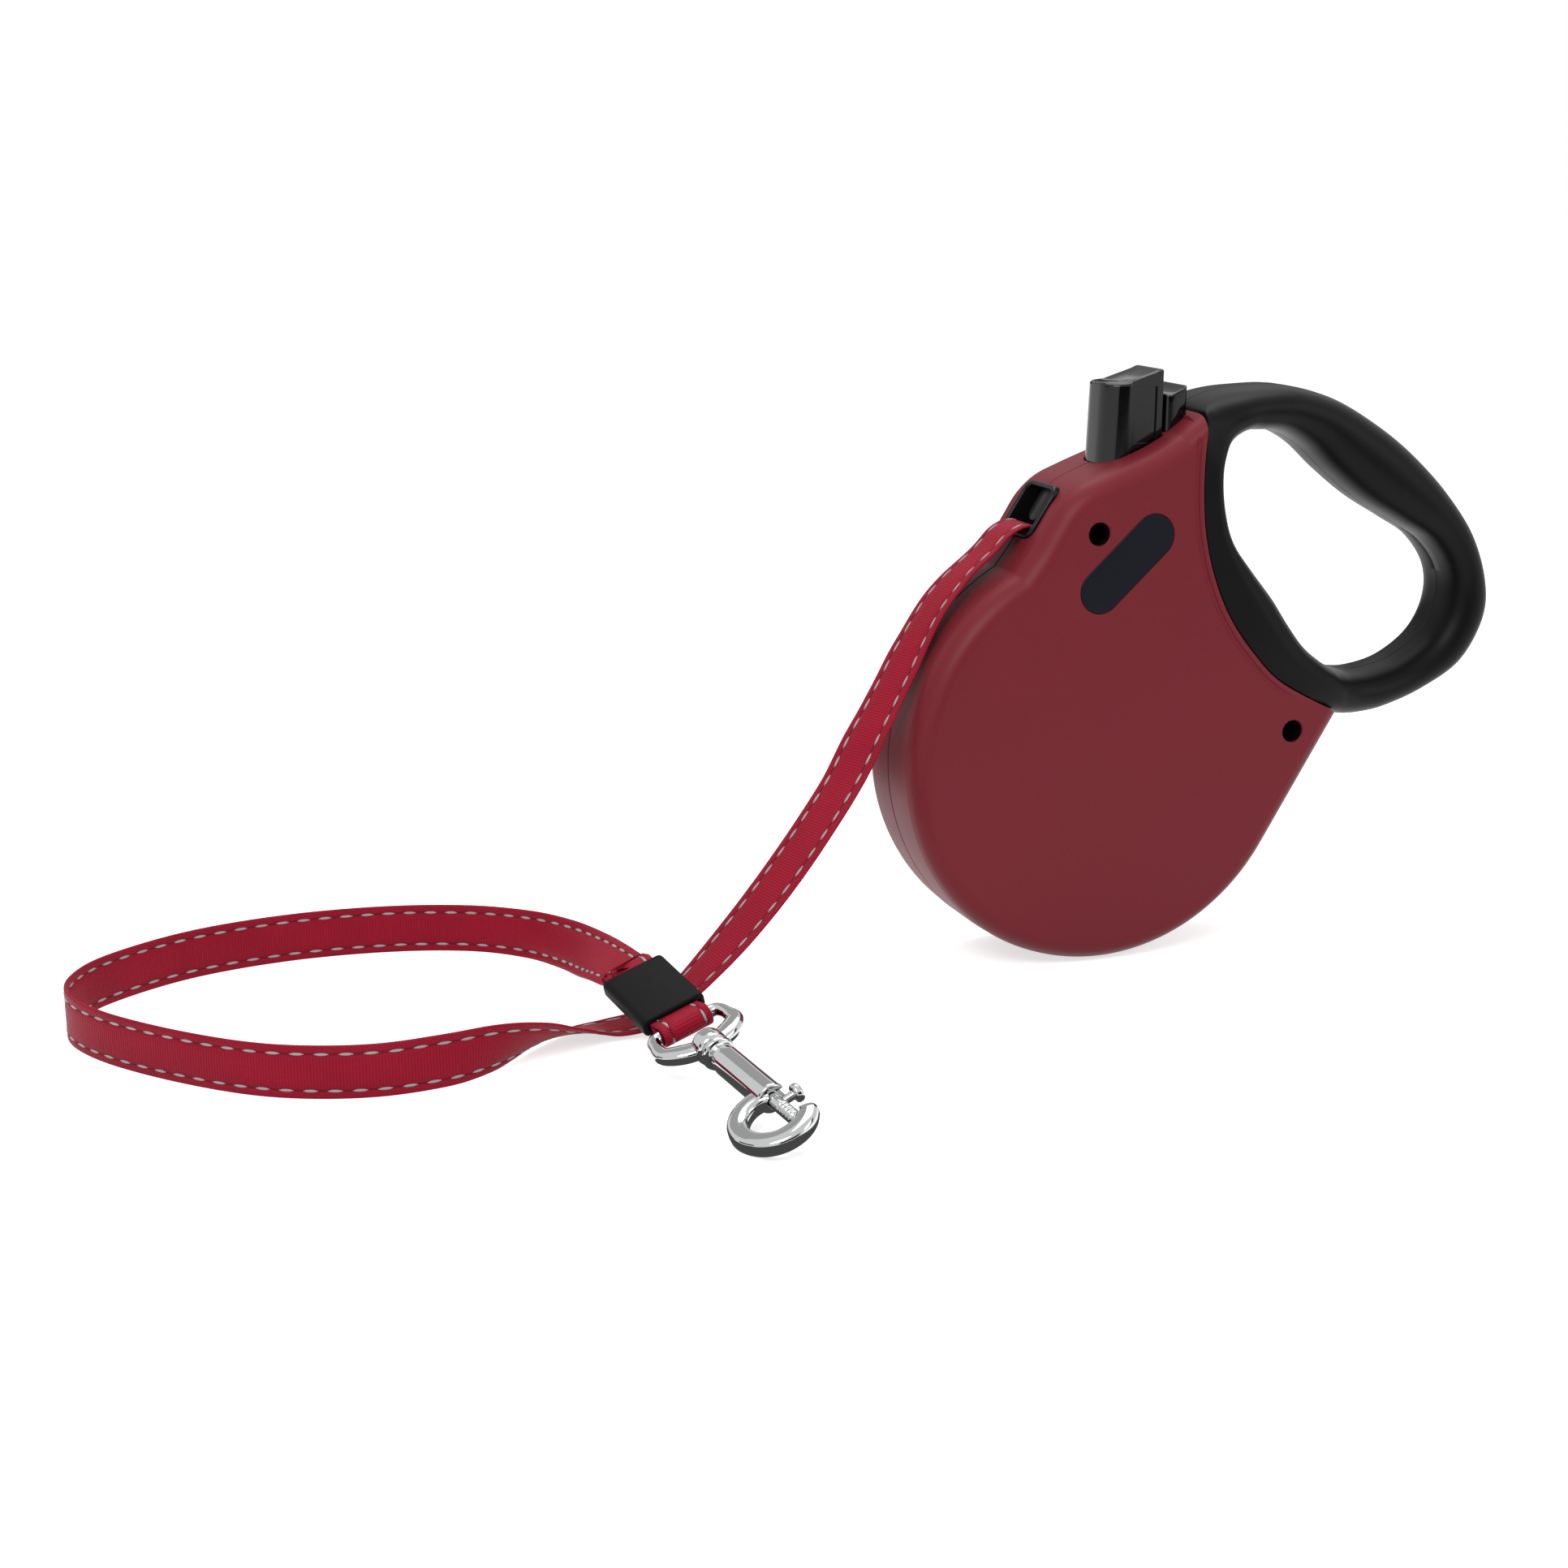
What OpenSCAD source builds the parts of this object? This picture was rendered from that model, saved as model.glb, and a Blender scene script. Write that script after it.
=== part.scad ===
// Retractable tape leash: casing with a spring-loaded spool, brake and lock
// buttons, a closed-loop handle, a webbing tape with its keeper, and a swivel
// bolt snap. Millimetres. X runs towards the handle, Y through the thickness
// with the front cover at -Y, Z up. The casing stands on its round lower rim.
// Origin: middle of the casing and handle in X and Y, on the floor.

/* [Casing] */
// Radius of the casing's round rim
rim_r = 65; // [63:0.5:70]
// Thickness of the casing over both covers
casing_t = 40; // [38:0.5:46]
// Wall thickness of the covers
wall = 2.4; // [1.8:0.1:2.8]
// How far the flat face is set in from the rim
shoulder = 6; // [4:0.5:7]
// Width of the straight band of the rim
band_w = 26; // [20:1:30]
// Radius of the screw recesses in the front cover
recess_r = 3.4; // [3:0.1:3.8]
// Depth of the screw recesses below the front face
recess_d = 13; // [10:0.5:14]
// Radius of the screw shanks
screw_r = 1.5; // [1.2:0.1:1.8]

/* [Handle] */
// Reach of the handle in front of the spool's axis
handle_reach = 138.3; // [136:0.1:142]
// Wall thickness of the handle halves
grip_wall = 2.2; // [1.6:0.1:2.6]
// Half thickness of the handle at the palm swell
palm_t = 15; // [13:0.5:17]
// Half thickness of the handle at its thin lower arm
finger_t = 12.5; // [11:0.5:14]

/* [Spool] */
// Radius of the hub that the tape winds on
hub_r = 28; // [26:0.5:30]
// Radius of the spool's two flanges
flange_r = 51.3; // [50:0.1:51.4]
// Thickness of a flange
flange_t = 1.8; // [1.4:0.1:2]
// Number of ratchet teeth on the cover
teeth = 36; // [32:4:40]
// Depth of the ratchet teeth
tooth_d = 3.7; // [3:0.1:3.7]
// Radius of the steel axle
axle_r = 4; // [3:0.1:5]
// Turns of the power spring
spring_turns = 12; // [8:1:12]

/* [Tape] */
// Width of the webbing tape
tape_w = 15; // [12:0.5:15]
// Thickness of the webbing tape
tape_t = 1; // [0.8:0.05:1]
// Turns of tape left on the spool
tape_turns = 14; // [10:1:14]
// Pitch of the wound turns
tape_pitch = 1.45; // [1.42:0.01:1.45]

/* [Mouth] */
// Width of the tape outlet across the casing
mouth_w = 20; // [19:0.5:21]
// Height of the tape outlet along the casing's slope
mouth_h = 18; // [17:0.5:18]
// Wall thickness of the tape outlet
mouth_wall = 1.8; // [1.4:0.1:1.8]

/* [Brake] */
// Length of the brake button along the casing
button_l = 19.4; // [19:0.1:19.4]
// Width of the brake button across the casing
button_w = 18; // [17:0.5:19]
// Height of the brake button's front edge
button_z = 176.3; // [175:0.1:177]
// Travel of the brake button
brake_travel = 5; // [4.6:0.1:5]
// Length of the lock button
lock_l = 7; // [6:0.1:7]
// Width of the lock button across the casing
lock_w = 17; // [15:0.5:18]
// Travel of the lock button
lock_travel = 2.4; // [1.6:0.1:2.4]

/* [Keeper] */
// Width of the rubber keeper
keeper_w = 19.5; // [18.5:0.5:22]
// Length of the rubber keeper along the tape
keeper_l = 24; // [20:1:26]
// Thickness of the rubber keeper
keeper_t = 5.6; // [5:0.1:7]

/* [Snap hook] */
// Wire radius of the swivel eye
eye_wire = 1.9; // [1.6:0.1:2]
// Distance from the eye's bar to its collar
eye_l = 16; // [15:0.5:18]
// Radius of the hook's barrel
barrel_r = 4.2; // [4:0.1:4.6]
// Outer radius of the hook's ring
ring_r = 12; // [11.5:0.1:12.5]
// Inner radius of the hook's ring
ring_hole_r = 6.5; // [6:0.1:6.8]
// Thickness of the hook's ring
ring_t = 5; // [4.4:0.1:5.4]
// Radius of the sliding bolt
bolt_r = 2; // [1.8:0.1:2.1]
// Travel of the sliding bolt
bolt_travel = 8; // [6:0.5:8]

/* [Hidden] */

run_gap = 0.05;      // radial clearance of a shaft in its bore
slide_gap = 0.3;     // clearance of other moving pairs
seat_gap = 0.15;     // clearance of fixed pieces in their seats
half_t = casing_t / 2;
floor_y = half_t - wall;                       // inner side of a cover's face
spool_z = rim_r;                               // height of the spool's axis
module placed() translate([-origin_x, 0, 0]) children();

// ---- outlines, as [x, z] from the spool's axis on the floor ----
function lerp(a, b, t) = a + (b - a) * t;
function unit(v) = v / norm(v);
function catmull(a, b, c, d, t) = 0.5 * (2 * b + (c - a) * t
    + (2 * a - 5 * b + 4 * c - d) * t * t + (3 * b - a - 3 * c + d) * t * t * t);
function spline(p, steps) = [for (i = [0:len(p) - 2], s = [0:steps - 1])
    catmull(p[max(i - 1, 0)], p[i], p[i + 1], p[min(i + 2, len(p) - 1)], s / steps),
    p[len(p) - 1]];
function ring_spline(p, steps) = let (n = len(p)) [for (i = [0:n - 1], s = [0:steps - 1])
    catmull(p[(i + n - 1) % n], p[i], p[(i + 1) % n], p[(i + 2) % n], s / steps)];

top_corner = [28, 166.5];
low_corner = [80, 71.5];
tangent_a = atan2(low_corner.y - spool_z, low_corner.x)
    - acos(rim_r / norm(low_corner - [0, spool_z]));
neck_a = 119;
rim_arc = [for (i = [0:58]) let (a = lerp(tangent_a, neck_a - 360, i / 58))
    [rim_r * cos(a), spool_z + rim_r * sin(a)]];
neck_top = concat(spline([rim_arc[58], [-26.5, 128.5], [-22.5, 135], [-18, 141.8], [-12, 147],
    [-4, 150.5], [6, 154.2], [13, 157], [20.6, 161]], 2), [top_corner]);
border = spline([top_corner, [27, 155], [27, 143], [28.3, 131], [31.7, 118.5],
    [37.5, 106], [46, 94.5], [57.5, 83.5], low_corner], 2);
low_line = [for (i = [1:4]) lerp(low_corner, rim_arc[0], i / 5)];
outline = concat(rim_arc, [for (i = [1:len(neck_top) - 1]) neck_top[i]],
    [for (i = [1:len(border) - 1]) border[i]], low_line);
top_i = 58 + len(neck_top) - 1;
low_i = top_i + len(border) - 1;
sides = len(outline);

function inward(i) = let (t = unit(outline[(i + 1) % sides] - outline[(i + sides - 1) % sides]))
    [t.y, -t.x];
function edge_in(i) = let (t = unit(outline[(i + 1) % sides] - outline[i])) [t.y, -t.x];
// direction that the shoulder moves a point, and that a wall moves it
function shoulder_dir(i) = i > top_i && i < low_i ? [0, 0]
    : i == top_i ? unit(outline[i + 1] - outline[i])
    : i == low_i ? unit(outline[i - 1] - outline[i]) : inward(i);
function wall_dir(i) = i == top_i || i == low_i
    ? let (a = edge_in((i + sides - 1) % sides), b = edge_in(i)) (a + b) / (1 + a * b)
    : inward(i);
function casing_ring(inset, thick, y) = [for (i = [0:sides - 1])
    let (p = outline[i] + inset * shoulder_dir(i) + thick * wall_dir(i)) [p.x, y, p.y]];

// closes a stack of rings into a solid, with flat ends
module skin(rings) {
    n = len(rings[0]);
    m = len(rings);
    polyhedron([for (r = rings) each r],
        concat([[for (i = [n - 1:-1:0]) i]], [[for (i = [0:n - 1]) (m - 1) * n + i]],
            [for (r = [0:m - 2], i = [0:n - 1])
                [r * n + i, r * n + (i + 1) % n, (r + 1) * n + (i + 1) % n]],
            [for (r = [0:m - 2], i = [0:n - 1])
                [r * n + i, (r + 1) * n + (i + 1) % n, (r + 1) * n + i]]));
}
// closes a stack of rings into a loop without ends
module loop_skin(rings) {
    n = len(rings[0]);
    m = len(rings);
    polyhedron([for (r = rings) each r],
        concat([for (r = [0:m - 1], i = [0:n - 1])
                [r * n + i, r * n + (i + 1) % n, ((r + 1) % m) * n + (i + 1) % n]],
            [for (r = [0:m - 1], i = [0:n - 1])
                [r * n + i, ((r + 1) % m) * n + (i + 1) % n, ((r + 1) % m) * n + i]]));
}
module on_y(x, z, y0, y1) translate([x, y0, z]) rotate([-90, 0, 0])
    linear_extrude(y1 - y0) children();
module disc(x, z, y0, y1, r) translate([x, y0, z]) rotate([-90, 0, 0])
    cylinder(h = y1 - y0, r = r, $fn = 64);
// draws a flat shape given in [x, z] at a depth range
module slab(y0, y1) translate([0, y1, 0]) rotate([90, 0, 0]) linear_extrude(y1 - y0) children();

// ---- casing ----
band = band_w / 2;
module cover() {
    inner = half_t - wall - 3;
    skin([casing_ring(shoulder * 0.6, wall, -floor_y),
        casing_ring(shoulder * 0.2, wall, -inner),
        casing_ring(0, wall, -band + 2), casing_ring(0, wall, 0),
        casing_ring(0, 0, 0), casing_ring(0.25, 0, -band),
        casing_ring(0.8, 0, lerp(-band, -half_t, 0.35)),
        casing_ring(1.7, 0, lerp(-band, -half_t, 0.6)),
        casing_ring(2.9, 0, lerp(-band, -half_t, 0.8)),
        casing_ring(4.3, 0, lerp(-band, -half_t, 0.93)),
        casing_ring(shoulder, 0, -half_t)]);
}
screw_upper = [-7, 133];
screw_lower = [62, 68];
lug_y = 4;                       // the handle's lugs lie within this depth
boss_r = 5.2;
module front_boss(p, end_y) disc(p.x, p.y, -floor_y - 1, -end_y, boss_r);
module screw_recess(p) {
    disc(p.x, p.y, -half_t - 1, -half_t + recess_d, recess_r);
    disc(p.x, p.y, -half_t, 1, screw_r + 0.2);
}
module rear_boss(p, end_y) disc(p.x, p.y, end_y, floor_y + 1, boss_r - 0.6);
pilot_gap = run_gap;
screw_end = 12;
module pilot(p) disc(p.x, p.y, -1, screw_end + 1, screw_r + pilot_gap);

// frame of the tape outlet: local X up the casing's slope, Z outwards
mouth_at = [-20.3, 138.4];
mouth_tilt = -57;
module at_mouth() translate([mouth_at.x, 0, mouth_at.y]) rotate([0, mouth_tilt, 0]) children();
module rounded_rect(w, h, r) {
    square([w - 2 * r, h], center = true);
    square([w, h - 2 * r], center = true);
    for (sx = [-1, 1], sy = [-1, 1]) translate([sx * (w / 2 - r), sy * (h / 2 - r)])
        circle(r, $fn = 32);
}
module mouth_cut() at_mouth() translate([0, 0, -outlet_depth - slide_gap]) linear_extrude(20)
    rounded_rect(mouth_h + 2 * seat_gap, mouth_w + 2 * seat_gap, 4);

// plan of the brake button: round front end, flat back
button_x0 = -0.8;
button_x1 = button_x0 + button_l;
lock_x0 = button_x1 + 0.9;
lock_slope = 36;
lock_stem_t = 2.2;
lock_stem_x = lock_x0 + 0.3;
lock_stem_w = 8;
module button_plan(gap) {
    r = 7;
    translate([button_x0, 0]) {
        translate([r - gap, -button_w / 2 - gap])
            square([button_l - r + 2 * gap, button_w + 2 * gap]);
        translate([-gap, -button_w / 2 - gap + r + gap])
            square([r + 2 * gap, button_w - 2 * r]);
        for (s = [-1, 1]) translate([r, s * (button_w / 2 - r)]) circle(r + gap, $fn = 48);
    }
}
module button_cut() translate([0, 0, 140]) linear_extrude(50) {
    button_plan(slide_gap);
    translate([button_x1, -lock_stem_w / 2 - slide_gap])
        square([lock_stem_x + lock_stem_t + lock_travel * cos(lock_slope) + slide_gap - button_x1,
            lock_stem_w + 2 * slide_gap]);
}

// shelf that carries the brake spring
brake_x = 7.8;
spring_x = 2.2;
shelf_z = 131.7;
shelf_t = 2.2;
module shelf_half() translate([-2.5, -floor_y - 1, shelf_z - shelf_t])
    cube([7.6, floor_y + 1 - seat_gap / 2, shelf_t]);

// seats of the axle
washer_t = 0.9;
spool_half = tape_w / 2 + 0.5 + flange_t;
seat_y = spool_half + 0.15 + washer_t + 0.05;
seat_r = 8;
axle_half = floor_y - 0.3;
module axle_seat() disc(0, spool_z, -floor_y - 1, -seat_y, seat_r);
module axle_hole() disc(0, spool_z, -axle_half - 0.1, 0, axle_r + run_gap);

// lugs of the handle that reach through the casing's border
lug_w = 7;
upper_lug_z = 139;
upper_lug_l = 6;
module lug_slot() {
    translate([20, -lug_y - seat_gap, upper_lug_z - lug_w / 2 - seat_gap])
        cube([14, lug_y + seat_gap + 1, lug_w + 2 * seat_gap]);
    translate([screw_lower.x, -lug_y - seat_gap, screw_lower.y]) rotate([0, lower_lug_a, 0])
        translate([-lug_w / 2 - seat_gap, 0, 2])
            cube([lug_w + 2 * seat_gap, lug_y + seat_gap + 1, 18]);
}
lower_lug_a = 8;
module lugs() {
    translate([border[4].x - upper_lug_l, -lug_y, upper_lug_z - lug_w / 2])
        cube([upper_lug_l + 3, lug_y - seat_gap / 2, lug_w]);
    difference() {
        union() {
            translate([screw_lower.x, -lug_y, screw_lower.y]) rotate([0, lower_lug_a, 0])
                translate([-lug_w / 2, 0, 0]) cube([lug_w, lug_y - seat_gap / 2, 13.5]);
            disc(screw_lower.x, screw_lower.y, -lug_y, -seat_gap / 2, boss_r - 0.8);
        }
        disc(screw_lower.x, screw_lower.y, -lug_y - 1, 1, screw_r + 0.2);
    }
}

label_a = [-6, 116];
label_b = [10.9, 131.5];
label_r = 6.6;
label_t = 0.7;
module label_shape(grow) {
    d = label_b - label_a;
    translate(label_a) rotate(atan2(d.y, d.x)) {
        translate([0, -label_r - grow]) square([norm(d), 2 * (label_r + grow)]);
        for (x = [0, norm(d)]) translate([x, 0]) circle(label_r + grow, $fn = 64);
    }
}

module front_casing() color([0.46, 0.17, 0.2]) placed() difference() {
    union() {
        cover();
        front_boss(screw_upper, seat_gap / 2);
        front_boss(screw_lower, lug_y + seat_gap);
        axle_seat();
        shelf_half();
    }
    screw_recess(screw_upper);
    screw_recess(screw_lower);
    axle_hole();
    mouth_cut();
    button_cut();
    lug_slot();
    slab(-half_t - 1, -half_t + label_t + 0.1) label_shape(seat_gap);
}
module rear_casing() color([0.44, 0.16, 0.19]) placed() mirror([0, 1, 0]) difference() {
    union() {
        cover();
        mirror([0, 1, 0]) rear_boss(screw_upper, seat_gap / 2);
        mirror([0, 1, 0]) rear_boss(screw_lower, lug_y + seat_gap);
        axle_seat();
        shelf_half();
    }
    mirror([0, 1, 0]) pilot(screw_upper);
    mirror([0, 1, 0]) pilot(screw_lower);
    axle_hole();
    mouth_cut();
    button_cut();
    lug_slot();
}

// ---- handle ----
// stations round the grip: inner [x, z], outer [x, z], half thickness, and
// how much of the outer edge is rounded (0 against the casing, 1 free)
leg_t = half_t - 0.4;
border_gap = 0.2;
// a point of the border by its number, moved into the handle by the gap
function by_border(b) = let (i = floor(b), j = ceil(b), t = unit(border[min(j + (i == j ? 1 : 0),
    len(border) - 1)] - border[max(i - (i == j ? 1 : 0), 0)]))
    lerp(border[i], border[j], b - i) - border_gap * [t.y, -t.x];
stations = [
    [50, 159.8, 50, 172.8, 16.5, 1], [60, 158.8, 63, 172.6, 15.6, 1],
    [70, 153.8, 78, 168.6, palm_t, 1], [80, 145.2, 92, 161.4, palm_t, 1],
    [92, 136.2, 106, 151.8, palm_t, 1], [105, 128.8, 120, 139, palm_t - 0.5, 1],
    [116, 122.2, 132, 124, finger_t + 0.8, 1], [123.6, 112.6, handle_reach, 108, finger_t, 1],
    [124.6, 102, 138, 95.5, finger_t, 1], [119.6, 92, 130, 82.2, finger_t, 1],
    [109, 84.6, 116, 74.2, finger_t, 1], [98, 81.8, 102, 69.8, finger_t + 1, 1],
    [89.6, 82, 92.4, 68.6, finger_t + 2, 1], [84, 83.6, 85, 69.2, finger_t + 3.4, 0.8],
    [80, 85.6, 0, 0, leg_t - 2.4, 0.3, 16], [76, 88, 0, 0, leg_t - 1.2, 0, 15],
    [69.6, 93.2, 0, 0, leg_t - 0.4, 0, 14], [63.6, 100.6, 0, 0, leg_t, 0, 12],
    [57.6, 109, 0, 0, leg_t, 0, 10], [49.6, 118, 0, 0, leg_t, 0, 8],
    [42, 127, 0, 0, leg_t, 0, 6], [38.2, 137, 0, 0, leg_t, 0, 4],
    [37, 146.6, 0, 0, leg_t, 0, 2], [38.6, 153.4, 0, 0, leg_t - 0.6, 0, 1],
    [40.6, 156.4, 0, 0, leg_t - 1.2, 0.15, 0], [43.4, 158.4, 31.6, 169.2, leg_t - 1.8, 0.5],
    [46.4, 159.6, 40, 171.8, 17.4, 0.9]];
function on_border(s, b) = let (p = by_border(b)) [s[0], s[1], p.x, p.y, s[4], s[5]];
function station(s) = s[6] == undef ? s : on_border(s, s[6]);
rough_grip = ring_spline([for (s = stations) let (t = station(s)) [for (k = [0:5]) t[k]]], 2);
grip = [for (i = [0:len(rough_grip) - 1]) let (m = len(stations), a = stations[floor(i / 2)][6],
    b = stations[ceil(i / 2) % m][6])
    a == undef || b == undef ? rough_grip[i] : on_border(rough_grip[i], (a + b) / 2)];
origin_x = (max([for (s = grip) s[2]]) - rim_r) / 2;     // spool axis to the origin
echo(spool_axis_to_origin = origin_x);
edge_steps = 10;
function oval_q(j) = (1 - cos(180 * j / edge_steps)) / 2;
function oval_h(j) = pow(max(sin(180 * j / edge_steps), 0), 0.62);
function wall_q(j) = j <= 5 ? oval_q(j) : j == edge_steps ? 1 : 0.5 + 0.5 * (j - 5) / 4;
function wall_h(j) = j <= 5 ? oval_h(j) : j == edge_steps ? 0 : 1;
function grip_point(s, q, y) = [lerp(s[0], s[2], q), y, lerp(s[1], s[3], q)];
function grip_section(s) = let (w = norm([s[2] - s[0], s[3] - s[1]]), c = grip_wall / w,
    d = 1 - grip_wall / s[4]) concat(
    [for (j = [0:edge_steps]) grip_point(s, lerp(wall_q(j), oval_q(j), s[5]),
        -s[4] * lerp(wall_h(j), oval_h(j), s[5]))],
    [for (j = [edge_steps:-2:0]) grip_point(s,
        lerp(c, 1 - c, lerp(wall_q(j), oval_q(j), s[5])),
        -s[4] * d * lerp(wall_h(j), oval_h(j), s[5]))]);
module handle_half() {
    loop_skin([for (s = grip) grip_section(s)]);
}
module front_handle() color([0.07, 0.07, 0.08]) placed() union() {
    handle_half();
    lugs();
}
module rear_handle() color([0.06, 0.06, 0.07]) placed() mirror([0, 1, 0]) union() {
    handle_half();
    lugs();
}

// ---- pieces fixed in the casing ----
outlet_depth = 8;
outlet_proud = 0.6;
module tape_outlet() color([0.05, 0.05, 0.05]) placed() at_mouth() {
    difference() {
        union() {
            translate([0, 0, -outlet_depth]) linear_extrude(outlet_depth + outlet_proud)
                rounded_rect(mouth_h, mouth_w, 4);
            translate([0, 0, -5.6]) linear_extrude(1.4)
                rounded_rect(mouth_h + 2, mouth_w + 2.4, 4.6);
        }
        translate([0, 0, -outlet_depth - 1]) linear_extrude(outlet_depth + outlet_proud + 2)
            rounded_rect(mouth_h - 2 * mouth_wall, mouth_w - 2 * mouth_wall, 3);
    }
    // tongue that hangs from the upper edge
    translate([0, -2.5, -3.6]) linear_extrude(2) {
        translate([1.5, -4]) square([mouth_h / 2 - mouth_wall - 1.4, 8]);
        translate([1.5, 0]) circle(4, $fn = 48);
    }
}
module label_plate() color([0.06, 0.07, 0.09]) placed()
    slab(-half_t, -half_t + label_t) label_shape(0);
head_h = 2;
module screw(p) {
    head_y = -half_t + recess_d;
    difference() {
        disc(p.x, p.y, head_y - head_h, head_y, recess_r - 0.5);
        translate([p.x - 2, head_y - head_h - 1, p.y - 0.4]) cube([4, 1.9, 0.8]);
        translate([p.x - 0.4, head_y - head_h - 1, p.y - 2]) cube([0.8, 1.9, 4]);
    }
    disc(p.x, p.y, head_y - 0.01, screw_end, screw_r);
}
module casing_screws() color("silver") placed() {
    screw(screw_upper);
    screw(screw_lower);
}

// ---- spool ----
module axle() color("lightgray") placed() disc(0, spool_z, -axle_half, axle_half, axle_r);
module washer(y0) difference() {
    disc(0, spool_z, y0, y0 + washer_t, seat_r - 0.5);
    disc(0, spool_z, y0 - 1, y0 + washer_t + 1, axle_r + run_gap);
}
module front_washer() color("silver") placed() washer(-seat_y + 0.05);
module rear_washer() color("silver") placed() washer(seat_y - 0.05 - washer_t);

pawl_a = acos(brake_x / (flange_r - tooth_d / 2));       // a gap faces the brake bar
tooth_share = 0.42;
function tooth_point(k, f, r) = let (a = pawl_a + 360 * (k + f) / teeth) [r * cos(a), r * sin(a)];
module flange_shape() polygon([for (k = [0:teeth - 1]) each [
    tooth_point(k, 0.5 - tooth_share / 2 - 0.03, flange_r - tooth_d),
    tooth_point(k, 0.5 - tooth_share / 2, flange_r),
    tooth_point(k, 0.5 + tooth_share / 2, flange_r),
    tooth_point(k, 0.5 + tooth_share / 2 + 0.03, flange_r - tooth_d)]]);
// the extrusion's local Y points down, so the shape is mirrored back
module spool_disc(y0, y1) translate([0, y0, spool_z]) rotate([-90, 0, 0])
    linear_extrude(y1 - y0) mirror([0, 1]) children();
bearing_l = 3;
module spool() color([0.85, 0.85, 0.82]) placed() difference() {
    union() {
        disc(0, spool_z, spool_half - flange_t, spool_half, flange_r);
        disc(0, spool_z, -spool_half + flange_t, spool_half - flange_t + 0.5, hub_r);
    }
    disc(0, spool_z, -spool_half, spool_half - flange_t - bearing_l, hub_r - 2);
    difference() {
        disc(0, spool_z, -spool_half, spool_half - flange_t, hub_r - 2);
        disc(0, spool_z, -spool_half - 1, spool_half, seat_r - 1);
    }
    disc(0, spool_z, -spool_half - 1, spool_half + 1, axle_r + run_gap);
}
module spool_cover() color([0.82, 0.82, 0.8]) placed() difference() {
    union() {
        spool_disc(-spool_half, -spool_half + flange_t) flange_shape();
        disc(0, spool_z, -spool_half + flange_t - 0.5, -spool_half + flange_t + bearing_l,
            seat_r - 1);
    }
    disc(0, spool_z, -spool_half - 1, spool_half + 1, axle_r + run_gap);
}

// flat spiral strip, as one closed outline
module spiral(r0, turns, pitch, thick, steps) {
    n = turns * steps;
    function at(i, off) = let (a = 360 * i / steps, r = r0 + off + pitch * i / steps)
        [r * cos(a), r * sin(a)];
    polygon(concat([for (i = [0:n]) at(i, 0)], [for (i = [n:-1:0]) at(i, thick)]));
}
spring_t = 0.5;
spring_r0 = axle_r + 0.6;
spring_pitch = (hub_r - 2 - 0.3 - spring_t - spring_r0) / spring_turns;
spring_half = tape_w / 2 + 0.5 - bearing_l - 0.3;
module power_spring() color("slategray") placed()
    spool_disc(-spring_half, spring_half) spiral(spring_r0, spring_turns, spring_pitch, spring_t, 24);
wound_r0 = hub_r + 0.4;
wound_r1 = wound_r0 + tape_turns * tape_pitch + tape_t;
module wound_tape() color([0.66, 0.1, 0.2]) placed()
    spool_disc(-tape_w / 2, tape_w / 2) spiral(wound_r0, tape_turns, tape_pitch, tape_t, 24);
echo(wound_gap = (tape_pitch - tape_t) * cos(7.5), spring_gap = (spring_pitch - spring_t) * cos(7.5));
echo(wound_length_mm = PI * tape_turns * (wound_r0 + wound_r1), wound_outer_r = wound_r1);

// straight lead from the pack to the outlet
lead_end = [-15.9, 129.9];
lead_r = wound_r1 + slide_gap + tape_t / 2;
lead_start = let (p = lead_end - [0, spool_z], a = atan2(p.y, p.x) - acos(lead_r / norm(p)))
    [lead_r * cos(a), spool_z + lead_r * sin(a)];
module tape_lead() color([0.68, 0.1, 0.2]) placed() let (d = lead_end - lead_start)
    translate([lead_start.x, 0, lead_start.y]) rotate([0, -atan2(d.y, d.x), 0])
        translate([0, -tape_w / 2, -tape_t / 2]) cube([norm(d), tape_w, tape_t]);

// ---- brake and lock ----
button_z0 = 146;
saddle_r = 26;
button_rise = 3.7;
module brake_button() color([0.03, 0.03, 0.03]) placed() difference() {
    translate([0, 0, button_z0]) linear_extrude(button_z + button_rise - button_z0) button_plan(0);
    // saddle for the thumb, higher at the back
    translate([button_x0 + 5, 0, button_z + saddle_r - 0.9]) rotate([90, -8, 0])
        cylinder(h = 40, r = saddle_r, center = true, $fn = 96);
    // panels let into the sides
    for (s = [-1, 1]) translate([button_x0 + 10.4, s * button_w / 2 - 0.4, 158])
        cube([7.5, 0.8, 15]);
}
pawl_w = 3;
pawl_clear = 1.8;
pawl_z = spool_z + sqrt(flange_r * flange_r - brake_x * brake_x) + pawl_clear;
foot_y0 = tape_w / 2 + 0.45;
foot_y1 = spool_half + 0.1;
bridge_z = pawl_z + 7.5;
module brake_bar() color([0.3, 0.3, 0.32]) placed() {
    translate([brake_x - 2.2, -foot_y1, bridge_z]) cube([4.4, foot_y1 + 4, 4]);
    translate([brake_x - 2.2, -4, bridge_z + 4]) cube([4.4, 8, button_z0 - bridge_z - 4]);
    translate([brake_x - pawl_w / 2, -foot_y1, pawl_z])
        cube([pawl_w, foot_y1 - foot_y0, bridge_z - pawl_z]);
}

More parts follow.
